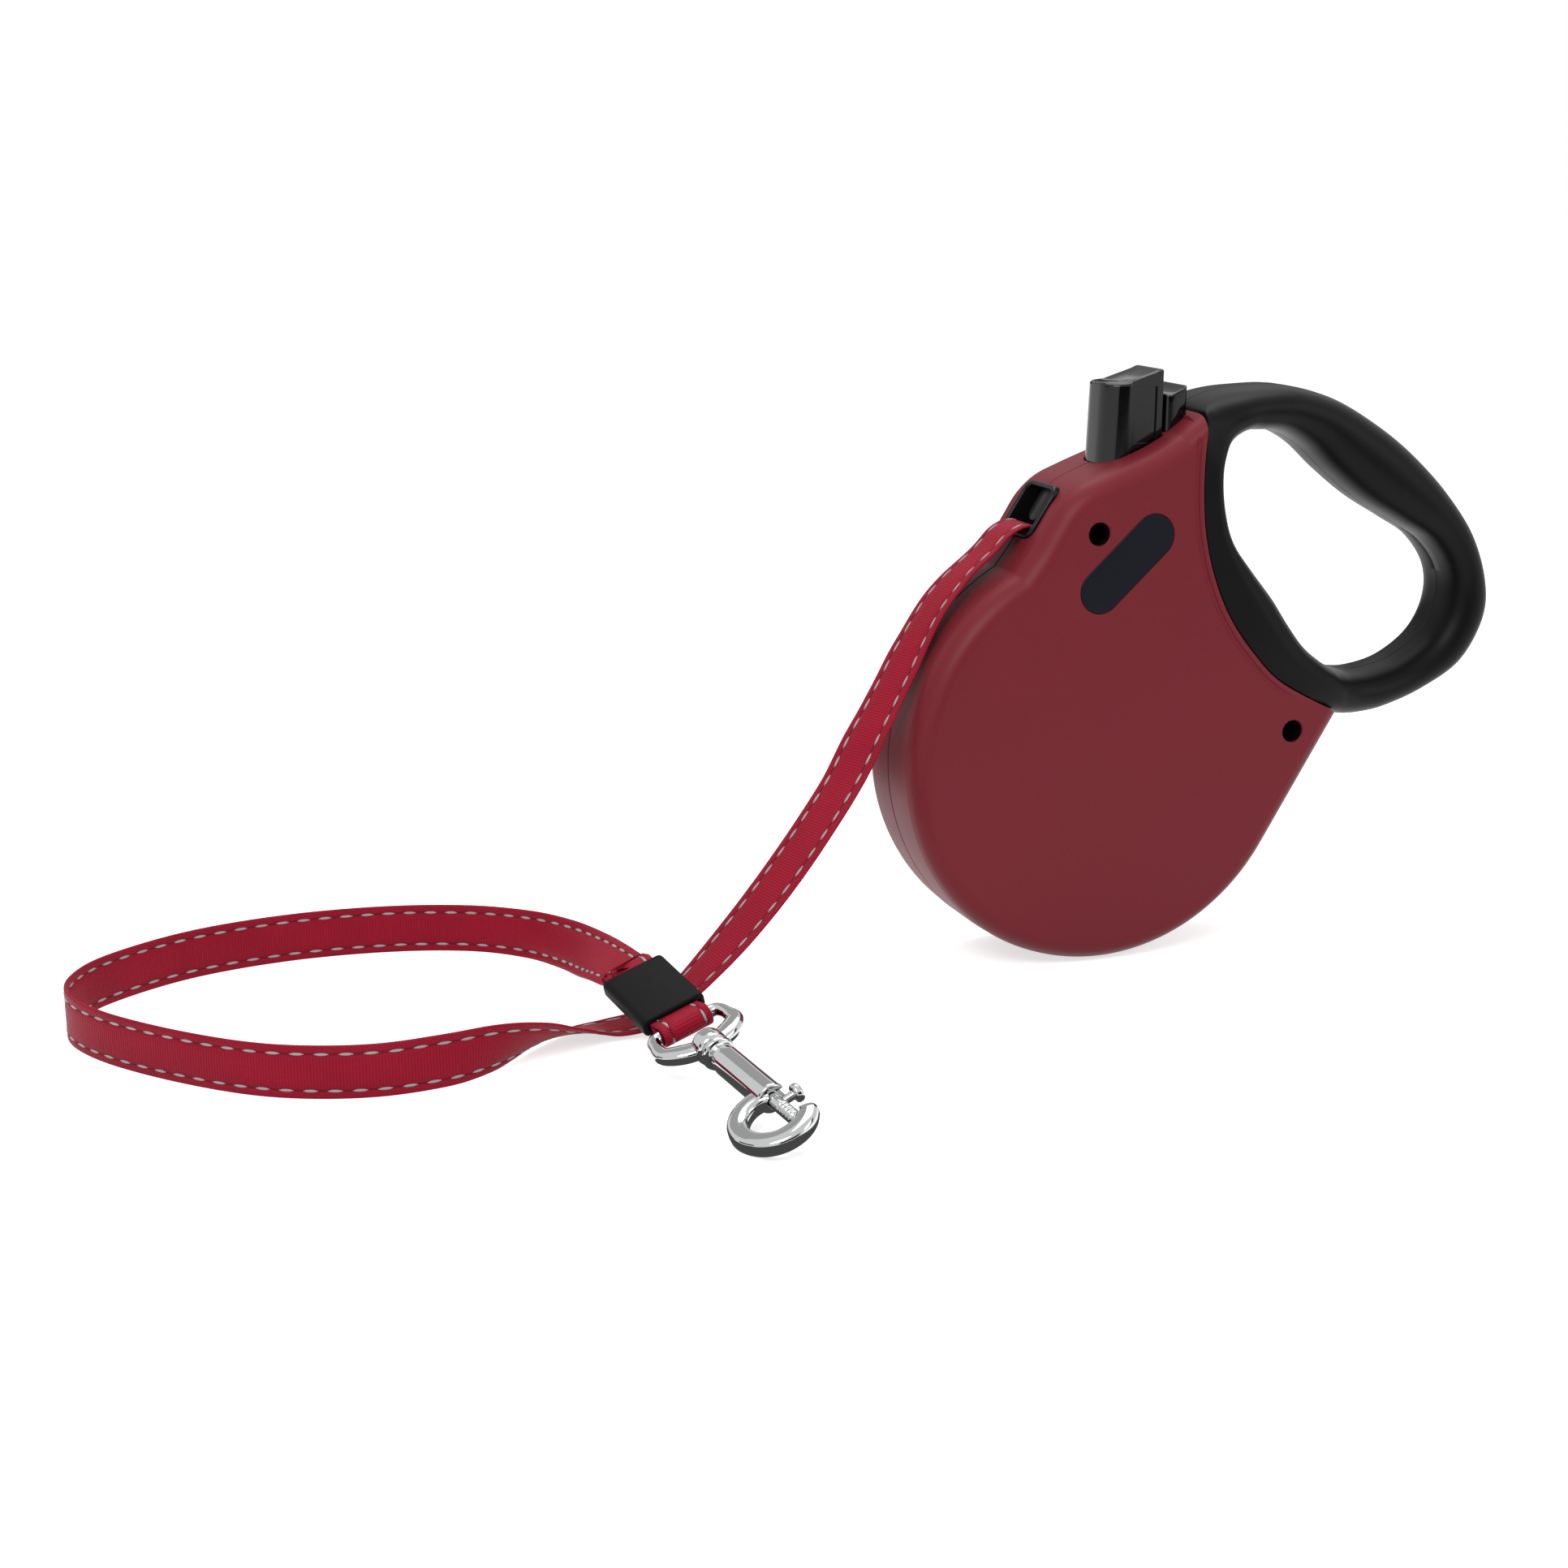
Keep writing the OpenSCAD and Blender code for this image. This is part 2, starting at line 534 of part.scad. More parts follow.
// round wire wound into a coil along Z
function coil_point(r, z0, length, turns, i, steps) = let (a = 360 * turns * i / steps)
    [r * cos(a), r * sin(a), z0 + length * i / steps];
module coil(r, wire, z0, length, turns, steps) {
    skin([for (i = [0:steps]) let (c = coil_point(r, z0, length, turns, i, steps),
        a = 360 * turns * i / steps)
        [for (k = [0:5]) c + wire * (cos(60 * k) * [cos(a), sin(a), 0] - sin(60 * k) * [0, 0, 1])]]);
}
spring_wire = 0.35;
brake_spring_l = button_z0 - shelf_z - 2 * spring_wire - 0.2;
module brake_spring() color("gainsboro") placed() translate([spring_x, 0, 0])
    coil(2.5, spring_wire, shelf_z + spring_wire + 0.1, brake_spring_l, 6, 96);

lock_z0 = 152;
lock_z1 = 173.4;
lock_base = 160.5;
module lock_button() color([0.04, 0.04, 0.04]) placed() difference() {
    union() {
        // block that follows the casing's slope, on a stem through the slot
        slab(-lock_w / 2, lock_w / 2) polygon([[lock_x0, lock_base], [lock_x0, lock_z1],
            [lock_x0 + lock_l, lock_z1 + 1.6],
            [lock_x0 + lock_l, lock_base + lock_l * tan(lock_slope)]]);
        translate([lock_stem_x, -lock_stem_w / 2, lock_z0])
            cube([lock_stem_t, lock_stem_w, lock_z1 - lock_z0 - 3]);
    }
    translate([lock_x0 + 1.6, 0, lock_z1 + 8]) rotate([90, 0, 0])
        cylinder(h = 40, r = 9, center = true, $fn = 64);
}

// ---- free tape: a flat strip swept along its route ----
// frame of the keeper, the fold and the snap: local X across the tape,
// Y along it towards the hook, Z up from its face
snap_at = [-152.3, -43.8, 16.6];
snap_turn = [192, -11, 18];
module at_snap() translate(snap_at) rotate([0, 0, snap_turn[0]]) rotate([snap_turn[1], 0, 0])
    rotate([0, snap_turn[2], 0]) children();
// route points: x from the spool's axis, y, z and the lean of the tape's width
// away from upright, in degrees about its run
route = [[-16.4, 0, 130.2, -90], [-20, 0, 132.7, -90], [-24.2, 0, 134.5, -90],
    [-29.8, 0, 132.2, -90], [-35, 0, 127, -90], [-43.5, 0, 119.8, -90],
    [-51.5, -1, 111.6, -90], [-58.5, -2.4, 101.4, -90], [-64.8, -4.4, 91.6, -91],
    [-70.6, -6.4, 82.8, -92], [-76.2, -8.6, 75, -93], [-84.4, -12.4, 63.4, -94],
    [-96, -17, 50.4, -96], [-107.6, -21, 38.4, -98], [-118.6, -24, 27.8, -98],
    [-129.4, -26, 18, -96], [-139.6, -26.6, 9.2, -93], [-149, -26, 3, -91],
    [-159, -26, 1.5, -88], [-168, -28.6, 2.6, -80], [-178, -34.6, 4.8, -62],
    [-188, -41.4, 7, -36], [-199, -47, 8, -12], [-212, -50.4, 7.9, 0],
    [-230, -51, 7.8, 0], [-248, -46, 7.8, 0], [-264, -36.6, 7.8, 0],
    [-282, -19.4, 7.8, 0], [-297, 0, 7.8, 0], [-304, 17, 7.8, 0], [-302, 32, 7.8, 0],
    [-291, 46.4, 7.8, 0], [-266, 60.6, 7.8, 0], [-236, 66.4, 7.8, 0],
    [-206, 64.4, 7.8, 0], [-182, 56, 8, 0], [-167, 42, 8.8, -6], [-159.6, 24, 10.6, -20],
    [-157, 4, 13.4, -38], [-156.6, -14, 16.6, -56], [-155.6, -28, 18.4, -68]];
module leash_tape() color([0.7, 0.1, 0.2]) placed() skin(tape_rings);

keeper_half = keeper_l / 2;
// the route's last points follow from the snap's frame
function turn_x(v, a) = [v.x, v.y * cos(a) - v.z * sin(a), v.y * sin(a) + v.z * cos(a)];
function turn_y(v, a) = [v.x * cos(a) + v.z * sin(a), v.y, -v.x * sin(a) + v.z * cos(a)];
function turn_z(v, a) = [v.x * cos(a) - v.y * sin(a), v.x * sin(a) + v.y * cos(a), v.z];
function snap_point(v) = snap_at
    + turn_z(turn_x(turn_y(v, snap_turn[2]), snap_turn[1]), snap_turn[0]);
layer_z = tape_t / 2 + 0.1;
route_end = snap_point([0, -keeper_half + 1, layer_z]);
ends = snap_point([0, -keeper_half - 5, layer_z]);
path4 = spline(concat(route, [[ends.x, ends.y, ends.z, -72], [route_end.x, route_end.y, route_end.z, -72]]), 6);
function xyz(p) = [p[0], p[1], p[2]];
// rings at equal distances along the path
path_l = [for (i = 0, s = 0; i < len(path4); s = s + (i + 1 < len(path4)
    ? norm(xyz(path4[i + 1]) - xyz(path4[i])) : 0), i = i + 1) s];
ring_count = 80;
function seek(s, lo, hi) = hi - lo <= 1 ? lo
    : let (mid = floor((lo + hi) / 2)) path_l[mid] <= s ? seek(s, mid, hi) : seek(s, lo, mid);
function path_at(s) = let (i = seek(s, 0, len(path4) - 1),
    t = (s - path_l[i]) / (path_l[i + 1] - path_l[i])) lerp(path4[i], path4[i + 1], t);
tape_l = path_l[len(path4) - 1];
function tape_ring(k) = let (s = tape_l * k / (ring_count - 1), p = path_at(min(s, tape_l - 0.001)),
    run = unit(xyz(path_at(min(s + 0.5, tape_l - 0.001))) - xyz(path_at(max(s - 0.5, 0)))),
    side = unit(cross(run, [0, 0, 1])), up = cross(side, run),
    w = up * cos(p[3]) + side * sin(p[3]), n = cross(run, w),
    hw = tape_w / 2, ht = tape_t / 2)
    [for (c = [[-1, -0.5], [-1, 0.5], [-0.97, 1], [0.97, 1], [1, 0.5], [1, -0.5],
        [0.97, -1], [-0.97, -1]]) xyz(p) + hw * c.x * w + ht * c.y * n];
tape_rings = [for (k = [0:ring_count - 1]) tape_ring(k)];
echo(free_tape_length_mm = tape_l);

// doubled end of the tape, round the eye's bar and back into the keeper
bar_y = keeper_half + 5.4;
fold_r = eye_wire + slide_gap;
module fold_side(grow) {
    // outline in [y, z], grown by the tape's thickness
    hull() {
        translate([bar_y, 0]) circle(fold_r + grow, $fn = 48);
        translate([keeper_half + 0.4, -0.1 - grow]) square([0.1, 0.2 + 2 * grow]);
    }
}
module tape_fold() color([0.7, 0.1, 0.2]) placed() at_snap()
    rotate([90, 0, 90]) translate([0, 0, -tape_w / 2]) linear_extrude(tape_w) difference() {
        union() {
            fold_side(tape_t);
            translate([-keeper_half + 1 + slide_gap, -0.1 - tape_t])
                square([keeper_l - 0.6, 0.2 + 2 * tape_t]);
        }
        fold_side(0);
        translate([-keeper_half, -0.1]) square([keeper_l, 0.2]);
        translate([-keeper_half - 1, -2 * tape_t]) square([5, 2 * tape_t]);
    }
module keeper() color([0.06, 0.06, 0.06]) placed() at_snap() difference() {
    translate([0, keeper_half, 0]) rotate([90, 0, 0]) linear_extrude(keeper_l)
        rounded_rect(keeper_w, keeper_t, 1.6);
    translate([0, keeper_half + 1, 0]) rotate([90, 0, 0]) linear_extrude(keeper_l + 2)
        square([tape_w + 2 * seat_gap, 2 * tape_t + 0.2 + 2 * seat_gap], center = true);
}

// ---- swivel bolt snap, in the snap's frame ----
eye_lift = 6;
hook_roll = 5;
collar_y = eye_l;
module at_bar() at_snap() translate([0, bar_y, 0]) rotate([eye_lift, 0, 0]) children();
module at_hook() at_bar() rotate([0, hook_roll, 0]) children();
module along(y0, y1, r) translate([0, y0, 0]) rotate([-90, 0, 0])
    cylinder(h = y1 - y0, r = r, $fn = 48);
eye_half = 11;
bar_half = 8;
eye_path = ring_spline([[-bar_half, 0], [0, 0], [bar_half, 0], [eye_half - 0.6, 1.4], [eye_half + 0.2, 5],
    [eye_half, 9.5], [7.4, 13], [3.6, eye_l - 1.4], [0, eye_l - 1], [-3.6, eye_l - 1.4],
    [-7.4, 13], [-eye_half, 9.5], [-eye_half - 0.2, 5], [-eye_half + 0.6, 1.4]], 2);
neck_r = 2.2;
eye_collar_t = 3.6;
module swivel_eye() color("silver") placed() at_bar() difference() {
    union() {
        loop_skin([for (i = [0:len(eye_path) - 1]) let (n = len(eye_path), p = eye_path[i],
            t = unit(eye_path[(i + 1) % n] - eye_path[(i + n - 1) % n]), o = [t.y, -t.x])
            [for (k = [0:7]) let (a = 45 * k + 22.5, c = eye_wire - (p.y < 0.2 ? 0.3 : 0.03)) [p.x + c * cos(a) * o.x,
                p.y + c * cos(a) * o.y, c * sin(a)]]]);
        rotate([0, 90, 0]) cylinder(h = 2 * bar_half, r = eye_wire, center = true, $fn = 48);
        along(eye_l - eye_collar_t / 2, eye_l + eye_collar_t / 2, 4.4);
    }
    along(eye_l - 8, eye_l + 8, neck_r + run_gap);
    // room for the shank's head inside the eye
    along(eye_l - 8, eye_l - eye_collar_t / 2, 3.9);
}

head_y0 = eye_l - eye_collar_t / 2;
flange_y = eye_l + eye_collar_t / 2 + slide_gap;
barrel_y1 = eye_l + 32;
bolt_tip = eye_l + 44;
ring_y = eye_l + 39;
ring_x = 4.1;
knob_y = eye_l + 35;
bolt_y0 = knob_y - 9;
ring_edge = 1.3;
module ring_section() let (h = ring_t / 2, e = ring_edge, a = ring_hole_r, b = ring_r)
    polygon([[a, e - h], [a + e, -h], [b - e, -h], [b, e - h],
        [b, h - e], [b - e, h], [a + e, h], [a, h - e]]);
ring_from = -118;
ring_to = 160;
module hook_body() color("silver") placed() at_hook() difference() {
    union() {
        along(head_y0 - slide_gap - 1.6, head_y0 - slide_gap, 3.6);
        along(head_y0 - slide_gap - 1, flange_y + 1, neck_r);
        along(flange_y, flange_y + 2, 4.8);
        along(flange_y + 1.9, flange_y + 4, 3.6);
        along(flange_y + 3.9, barrel_y1, barrel_r);
        translate([ring_x, ring_y, 0]) rotate([0, 0, ring_from])
            rotate_extrude(angle = ring_to - ring_from, $fn = 96) ring_section();
        translate([ring_x, ring_y, 0]) rotate([0, 0, ring_to])
            translate([(ring_r + ring_hole_r) / 2, 0, 0]) sphere(2.2, $fn = 32);
    }
    along(bolt_y0 - bolt_travel - 12, barrel_y1 + 6, bolt_r + slide_gap);
    // seat of the bolt's tip in the ring's nose
    translate([-bolt_r - slide_gap, ring_y, -ring_t]) cube([2 * (bolt_r + slide_gap),
        bolt_tip + slide_gap - ring_y, 2 * ring_t]);
    // slot of the thumb knob's stem
    translate([-barrel_r - 2, knob_y - bolt_travel - stem_r - slide_gap, -stem_r - slide_gap])
        cube([barrel_r + 2, barrel_y1 + 1 - knob_y + bolt_travel + stem_r + slide_gap,
            2 * (stem_r + slide_gap)]);
}
module hook_bolt() color("gainsboro") placed() at_hook() difference() {
    along(bolt_y0, bolt_tip, bolt_r);
    translate([-bolt_r - 1, knob_y, 0]) rotate([0, 90, 0])
        cylinder(h = 2.2, r = stem_r + run_gap, $fn = 32);
    for (k = [0:2]) translate([0, knob_y + 2.2 + 1.7 * k, 0]) difference() {
        along(0, 0.7, bolt_r + 1);
        along(-0.1, 0.8, bolt_r - 0.35);
    }
}
stem_r = 1.2;
knob_r = 2.6;
module thumb_knob() color("silver") placed() at_hook() {
    translate([-bolt_r + 1.1, knob_y, 0]) rotate([0, -90, 0]) {
        cylinder(h = barrel_r - bolt_r + 1.8, r = stem_r, $fn = 32);
        translate([0, 0, barrel_r - bolt_r + 1.5]) cylinder(h = 2.2, r = knob_r, $fn = 48);
    }
}
bolt_spring_l = bolt_travel + 2.6;
module bolt_spring() color("gainsboro") placed() at_hook()
    translate([0, bolt_y0 - bolt_travel - 11.6, 0]) rotate([-90, 0, 0])
        coil(1.6, 0.3, 0.4, bolt_spring_l, 7, 98);

front_casing();
rear_casing();
front_handle();
rear_handle();
tape_outlet();
label_plate();
casing_screws();
axle();
front_washer();
rear_washer();
spool();
spool_cover();
power_spring();
wound_tape();
tape_lead();
brake_button();
brake_bar();
brake_spring();
lock_button();
leash_tape();
tape_fold();
keeper();
swivel_eye();
hook_body();
hook_bolt();
thumb_knob();
bolt_spring();
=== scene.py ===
import math

import bmesh
import bpy
import numpy as np
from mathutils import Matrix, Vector


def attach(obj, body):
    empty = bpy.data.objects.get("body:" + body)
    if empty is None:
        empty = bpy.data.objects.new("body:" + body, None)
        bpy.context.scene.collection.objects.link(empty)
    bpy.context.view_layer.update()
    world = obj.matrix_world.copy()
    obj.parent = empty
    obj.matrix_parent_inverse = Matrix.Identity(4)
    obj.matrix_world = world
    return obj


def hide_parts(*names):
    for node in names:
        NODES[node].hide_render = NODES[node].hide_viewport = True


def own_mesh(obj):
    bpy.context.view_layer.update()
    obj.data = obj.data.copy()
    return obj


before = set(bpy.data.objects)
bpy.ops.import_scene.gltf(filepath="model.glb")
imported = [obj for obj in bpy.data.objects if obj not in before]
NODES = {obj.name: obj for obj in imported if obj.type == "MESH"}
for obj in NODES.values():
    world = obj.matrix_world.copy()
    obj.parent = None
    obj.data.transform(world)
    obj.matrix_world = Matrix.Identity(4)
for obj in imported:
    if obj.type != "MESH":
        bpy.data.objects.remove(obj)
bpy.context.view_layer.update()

MM = 0.001
SPOOL_X = -37.022         # the spool's axis, as the source places it
RIM_R = 65.0              # the casing's rim round that axis, and the axis's height
SHIFT = np.array([SPOOL_X, 0, 0])
scene = bpy.context.scene
scene.view_settings.view_transform = "Standard"


def stand(name, data, at, aim, axis="-Z"):
    """Adds an object at a place in metres, with its axis turned towards aim."""
    o = bpy.data.objects.new(name, data)
    scene.collection.objects.link(o)
    o.location = at
    o.rotation_mode = "QUATERNION"
    o.rotation_quaternion = (Vector(aim) - Vector(at)).to_track_quat(axis, "Y")
    return o


# ---------- camera and room
TARGET = Vector((-98.16 + SPOOL_X, 0, 60.81)) * MM
AZIMUTH, ELEVATION, HALF_VIEW = (math.radians(v) for v in (-20, 15, 18.3))
DISTANCE = 0.7
back = Vector((math.sin(AZIMUTH) * math.cos(ELEVATION),
               -math.cos(AZIMUTH) * math.cos(ELEVATION), math.sin(ELEVATION)))
cam_data = bpy.data.cameras.new("camera")
cam_data.sensor_width = 36
cam_data.lens = cam_data.sensor_width / 2 / math.tan(HALF_VIEW)
cam_data.clip_start, cam_data.clip_end = 0.01, 20
scene.camera = stand("camera", cam_data, TARGET + back * DISTANCE, TARGET)


class Nodes:
    """A small helper that adds and joins shader nodes."""

    def __init__(self, tree):
        self.tree = tree
        tree.nodes.clear()

    def add(self, kind, **settings):
        n = self.tree.nodes.new(kind)
        for key, value in settings.items():
            if key in n.inputs:
                n.inputs[key].default_value = value
            else:
                setattr(n, key, value)
        return n

    def join(self, a, b):
        self.tree.links.new(a, b)

    def end(self, shader, kind="ShaderNodeOutputMaterial"):
        self.join(shader.outputs[0], self.add(kind).inputs[0])

    def math(self, op, a, b=None, c=None, clamp=False):
        n = self.add("ShaderNodeMath", operation=op, use_clamp=clamp)
        for i, v in enumerate((a, b, c)):
            if isinstance(v, (int, float)):
                n.inputs[i].default_value = v
            elif v is not None:
                self.join(v, n.inputs[i])
        return n.outputs[0]

    def mix(self, factor, a, b):
        n = self.add("ShaderNodeMix", data_type="RGBA", blend_type="MIX")
        for socket, v in ((n.inputs[0], factor), (n.inputs[6], a), (n.inputs[7], b)):
            if isinstance(v, tuple):
                socket.default_value = (*v, 1)
            else:
                self.join(v, socket)
        return n.outputs[2]

    def ramp(self, factor, stops):
        n = self.add("ShaderNodeValToRGB")
        while len(n.color_ramp.elements) < len(stops):
            n.color_ramp.elements.new(0.5)
        for e, (at, v) in zip(n.color_ramp.elements, stops):
            e.position = at
            e.color = (v, v, v, 1)
        self.join(factor, n.inputs[0])
        return n.outputs[0]

    def noise(self, where, scale, detail, rough=0.5):
        n = self.add("ShaderNodeTexNoise", Scale=scale, Detail=detail, Roughness=rough)
        self.join(where, n.inputs["Vector"])
        return n.outputs["Fac"]

    def bump(self, height, strength, depth, bsdf):
        """Bumps the shader's normal by a height that stands for depth mm."""
        n = self.add("ShaderNodeBump", Strength=strength, Distance=depth * MM)
        self.join(height, n.inputs["Height"])
        self.join(n.outputs[0], bsdf.inputs["Normal"])


def new_material(name):
    mat = bpy.data.materials.new(name)
    mat.use_nodes = True
    return mat, Nodes(mat.node_tree)


def camera_or_mirror(k):
    """1 for camera, glossy and transmission rays, else 0."""
    path = k.add("ShaderNodeLightPath")
    any_ray = k.math("MAXIMUM", path.outputs["Is Camera Ray"], path.outputs["Is Glossy Ray"])
    return k.math("MAXIMUM", any_ray, path.outputs["Is Transmission Ray"])


def sheet(name, width, depth, mat):
    """A flat rectangle of this size in metres."""
    mesh = bpy.data.meshes.new(name)
    x, y = width / 2, depth / 2
    mesh.from_pydata([(-x, -y, 0), (x, -y, 0), (x, y, 0), (-x, y, 0)], [], [(0, 1, 2, 3)])
    mesh.materials.append(mat)
    return mesh


def studio():
    """An even world, and a floor that the camera sees as white."""
    world = bpy.data.worlds.new("studio")
    scene.world = world
    world.use_nodes = True
    k = Nodes(world.node_tree)
    sky = k.add("ShaderNodeBackground", Color=(1, 1, 1, 1))
    k.join(k.math("MULTIPLY_ADD", camera_or_mirror(k), 0.5, 0.5), sky.inputs["Strength"])
    k.end(sky, "ShaderNodeOutputWorld")

    paint, k = new_material("floor")
    diffuse = k.add("ShaderNodeBsdfDiffuse", Color=(0.8, 0.8, 0.8, 1))
    glow = k.add("ShaderNodeEmission", Color=(1, 1, 1, 1))
    k.join(k.math("MULTIPLY", camera_or_mirror(k), 0.66), glow.inputs["Strength"])
    both = k.add("ShaderNodeAddShader")
    k.join(diffuse.outputs[0], both.inputs[0])
    k.join(glow.outputs[0], both.inputs[1])
    k.end(both)
    side, drop = 8.0, -0.2 * MM
    stand("floor", sheet("floor", side, side, paint), (0, 0, drop), (0, 0, 1), "Z")


def area_light(name, at, aim, size, power):
    data = bpy.data.lights.new(name, "AREA")
    data.shape = "RECTANGLE"
    data.size, data.size_y = size
    data.energy = power
    stand(name, data, at, aim)


def card(name, at, aim, size, grey):
    """A studio card that only reflections see, never the camera."""
    paint, k = new_material(name)
    k.end(k.add("ShaderNodeEmission", Color=(grey, grey, grey, 1)))
    o = stand(name, sheet(name, *size, paint), at, aim, "Z")
    o.visible_camera = o.visible_diffuse = o.visible_shadow = False


studio()
area_light("key", (-0.75, -0.75, 1.0), (-0.05, 0, 0.08), (0.7, 0.5), 9.0)
area_light("top", (0.1, 0.35, 1.1), (-0.03, 0, 0.1), (0.9, 0.5), 6.0)
area_light("fill", (0.8, -0.7, 0.5), (0.02, 0, 0.08), (0.6, 0.6), 2.2)
MIDDLE = (-0.15, -0.05, 0.05)
card("card_back", (-0.2, 1.0, 0.95), MIDDLE, (1.2, 0.6), 0.55)
card("card_rear", (0.15, 1.1, 0.30), MIDDLE, (1.3, 0.34), 0.08)
card("card_front", (-0.1, -1.35, 0.30), MIDDLE, (1.3, 0.6), 0.03)
card("card_left", (-1.5, 0.1, 0.35), MIDDLE, (0.7, 0.4), 0.03)
card("card_right", (1.2, -0.5, 0.45), MIDDLE, (0.5, 0.7), 0.05)
for word, at, size, grey in (                # these lie on the floor
        ("low", (-0.09, -0.80, 0.004), (1.32, 0.96), 0.05),
        ("snap", (-0.195, -0.125, 0.0006), (0.11, 0.13), 0.10),
        ("side", (-0.30, 0.42, 0.004), (0.34, 0.55), 0.10)):
    card(f"card_{word}", at, (*at[:2], 1), size, grey)


# ---------- shapes
def catmull(p, steps, closed=False):
    """Points along a smooth curve through p; steps to each span."""
    p = np.asarray(p, float)
    n = len(p)
    t = np.arange(steps)[:, None] / steps
    out = []
    for i in range(n if closed else n - 1):
        if closed:
            a, b, c, d = p[i - 1], p[i], p[(i + 1) % n], p[(i + 2) % n]
        else:
            a, b, c, d = p[max(i - 1, 0)], p[i], p[i + 1], p[min(i + 2, n - 1)]
        out.append(0.5 * (2 * b + (c - a) * t + (2 * a - 5 * b + 4 * c - d) * t ** 2
                          + (3 * b - a - 3 * c + d) * t ** 3))
    if not closed:
        out.append(p[-1:])
    return np.concatenate(out)


def unit(v):
    v = np.asarray(v, float)
    return v / np.linalg.norm(v, axis=-1, keepdims=True)


def new_object(name, verts, faces):
    """A smooth mesh of these points, in mm, with its normals outwards."""
    mesh = bpy.data.meshes.new(name)
    mesh.from_pydata([tuple(float(c) * MM for c in v) for v in verts], [], faces)
    bm = bmesh.new()
    bm.from_mesh(mesh)
    bmesh.ops.recalc_face_normals(bm, faces=bm.faces)
    bm.to_mesh(mesh)
    bm.free()
    mesh.polygons.foreach_set("use_smooth", [True] * len(mesh.polygons))
    o = bpy.data.objects.new(name, mesh)
    scene.collection.objects.link(o)
    return o


def loft(name, rings, closed=False):
    """Skins equal rings of points; closed joins the last ring to the first."""
    rings = np.asarray(rings, float)
    m, n = rings.shape[:2]
    faces = []
    for r in range(m if closed else m - 1):
        q = (r + 1) % m
        for i in range(n):
            j = (i + 1) % n
            faces.append((r * n + i, r * n + j, q * n + j, q * n + i))
    if not closed:
        faces.append(tuple(range(n - 1, -1, -1)))
        faces.append(tuple((m - 1) * n + i for i in range(n)))
    return new_object(name, rings.reshape(-1, 3), faces)


def circle(steps):
    """Angles at equal steps round a circle."""
    return np.linspace(0, 2 * math.pi, steps, endpoint=False)


def squared(a, power):
    """Cosine and sine of a, pushed towards a rounded square."""
    return (math.copysign(abs(v) ** power, v) for v in (math.cos(a), math.sin(a)))


def run_length(points):
    """The distance along a line at each of its points."""
    step = np.linalg.norm(np.diff(points, axis=0), axis=1)
    return np.concatenate([[0], np.cumsum(step)])


def turn(axis, degrees):
    """A rotation about one axis, as a matrix."""
    a = math.radians(degrees)
    c, s = math.cos(a), math.sin(a)
    return np.array({"x": [[1, 0, 0], [0, c, -s], [0, s, c]],
                     "y": [[c, 0, s], [0, 1, 0], [-s, 0, c]],
                     "z": [[c, -s, 0], [s, c, 0], [0, 0, 1]]}[axis])


smooth_groups = {}


def smooth_group(degrees):
    """A modifier tree that welds a mesh and smooths it up to an angle."""
    if degrees in smooth_groups:
        return smooth_groups[degrees]
    g = bpy.data.node_groups.new(f"smooth_{degrees}", "GeometryNodeTree")
    g.interface.new_socket("Geometry", in_out="INPUT", socket_type="NodeSocketGeometry")
    g.interface.new_socket("Geometry", in_out="OUTPUT", socket_type="NodeSocketGeometry")
    start, end = g.nodes.new("NodeGroupInput"), g.nodes.new("NodeGroupOutput")
    weld = g.nodes.new("GeometryNodeMergeByDistance")
    weld.inputs["Distance"].default_value = 2e-6
    plain = g.nodes.new("GeometryNodeRemoveAttribute")
    plain.inputs["Name"].default_value = "custom_normal"
    faces = g.nodes.new("GeometryNodeSetShadeSmooth")
    faces.domain = "FACE"
    edges = g.nodes.new("GeometryNodeSetShadeSmooth")
    edges.domain = "EDGE"
    edges.inputs["Shade Smooth"].default_value = False
    angle = g.nodes.new("GeometryNodeInputMeshEdgeAngle")
    over = g.nodes.new("FunctionNodeCompare")
    over.data_type = "FLOAT"
    over.operation = "GREATER_THAN"
    over.inputs[1].default_value = math.radians(degrees)
    link = g.links.new
    link(start.outputs[0], weld.inputs["Geometry"])
    link(weld.outputs[0], plain.inputs[0])
    link(plain.outputs[0], faces.inputs["Geometry"])
    link(faces.outputs[0], edges.inputs["Geometry"])
    link(angle.outputs["Unsigned Angle"], over.inputs[0])
    link(over.outputs[0], edges.inputs["Selection"])
    link(edges.outputs[0], end.inputs[0])
    smooth_groups[degrees] = g
    return g


def smoothed(o, degrees):
    """Shades a piece smooth, with sharp edges over this angle."""
    mod = o.modifiers.new("smooth", "NODES")
    mod.node_group = smooth_group(degrees)
    return o


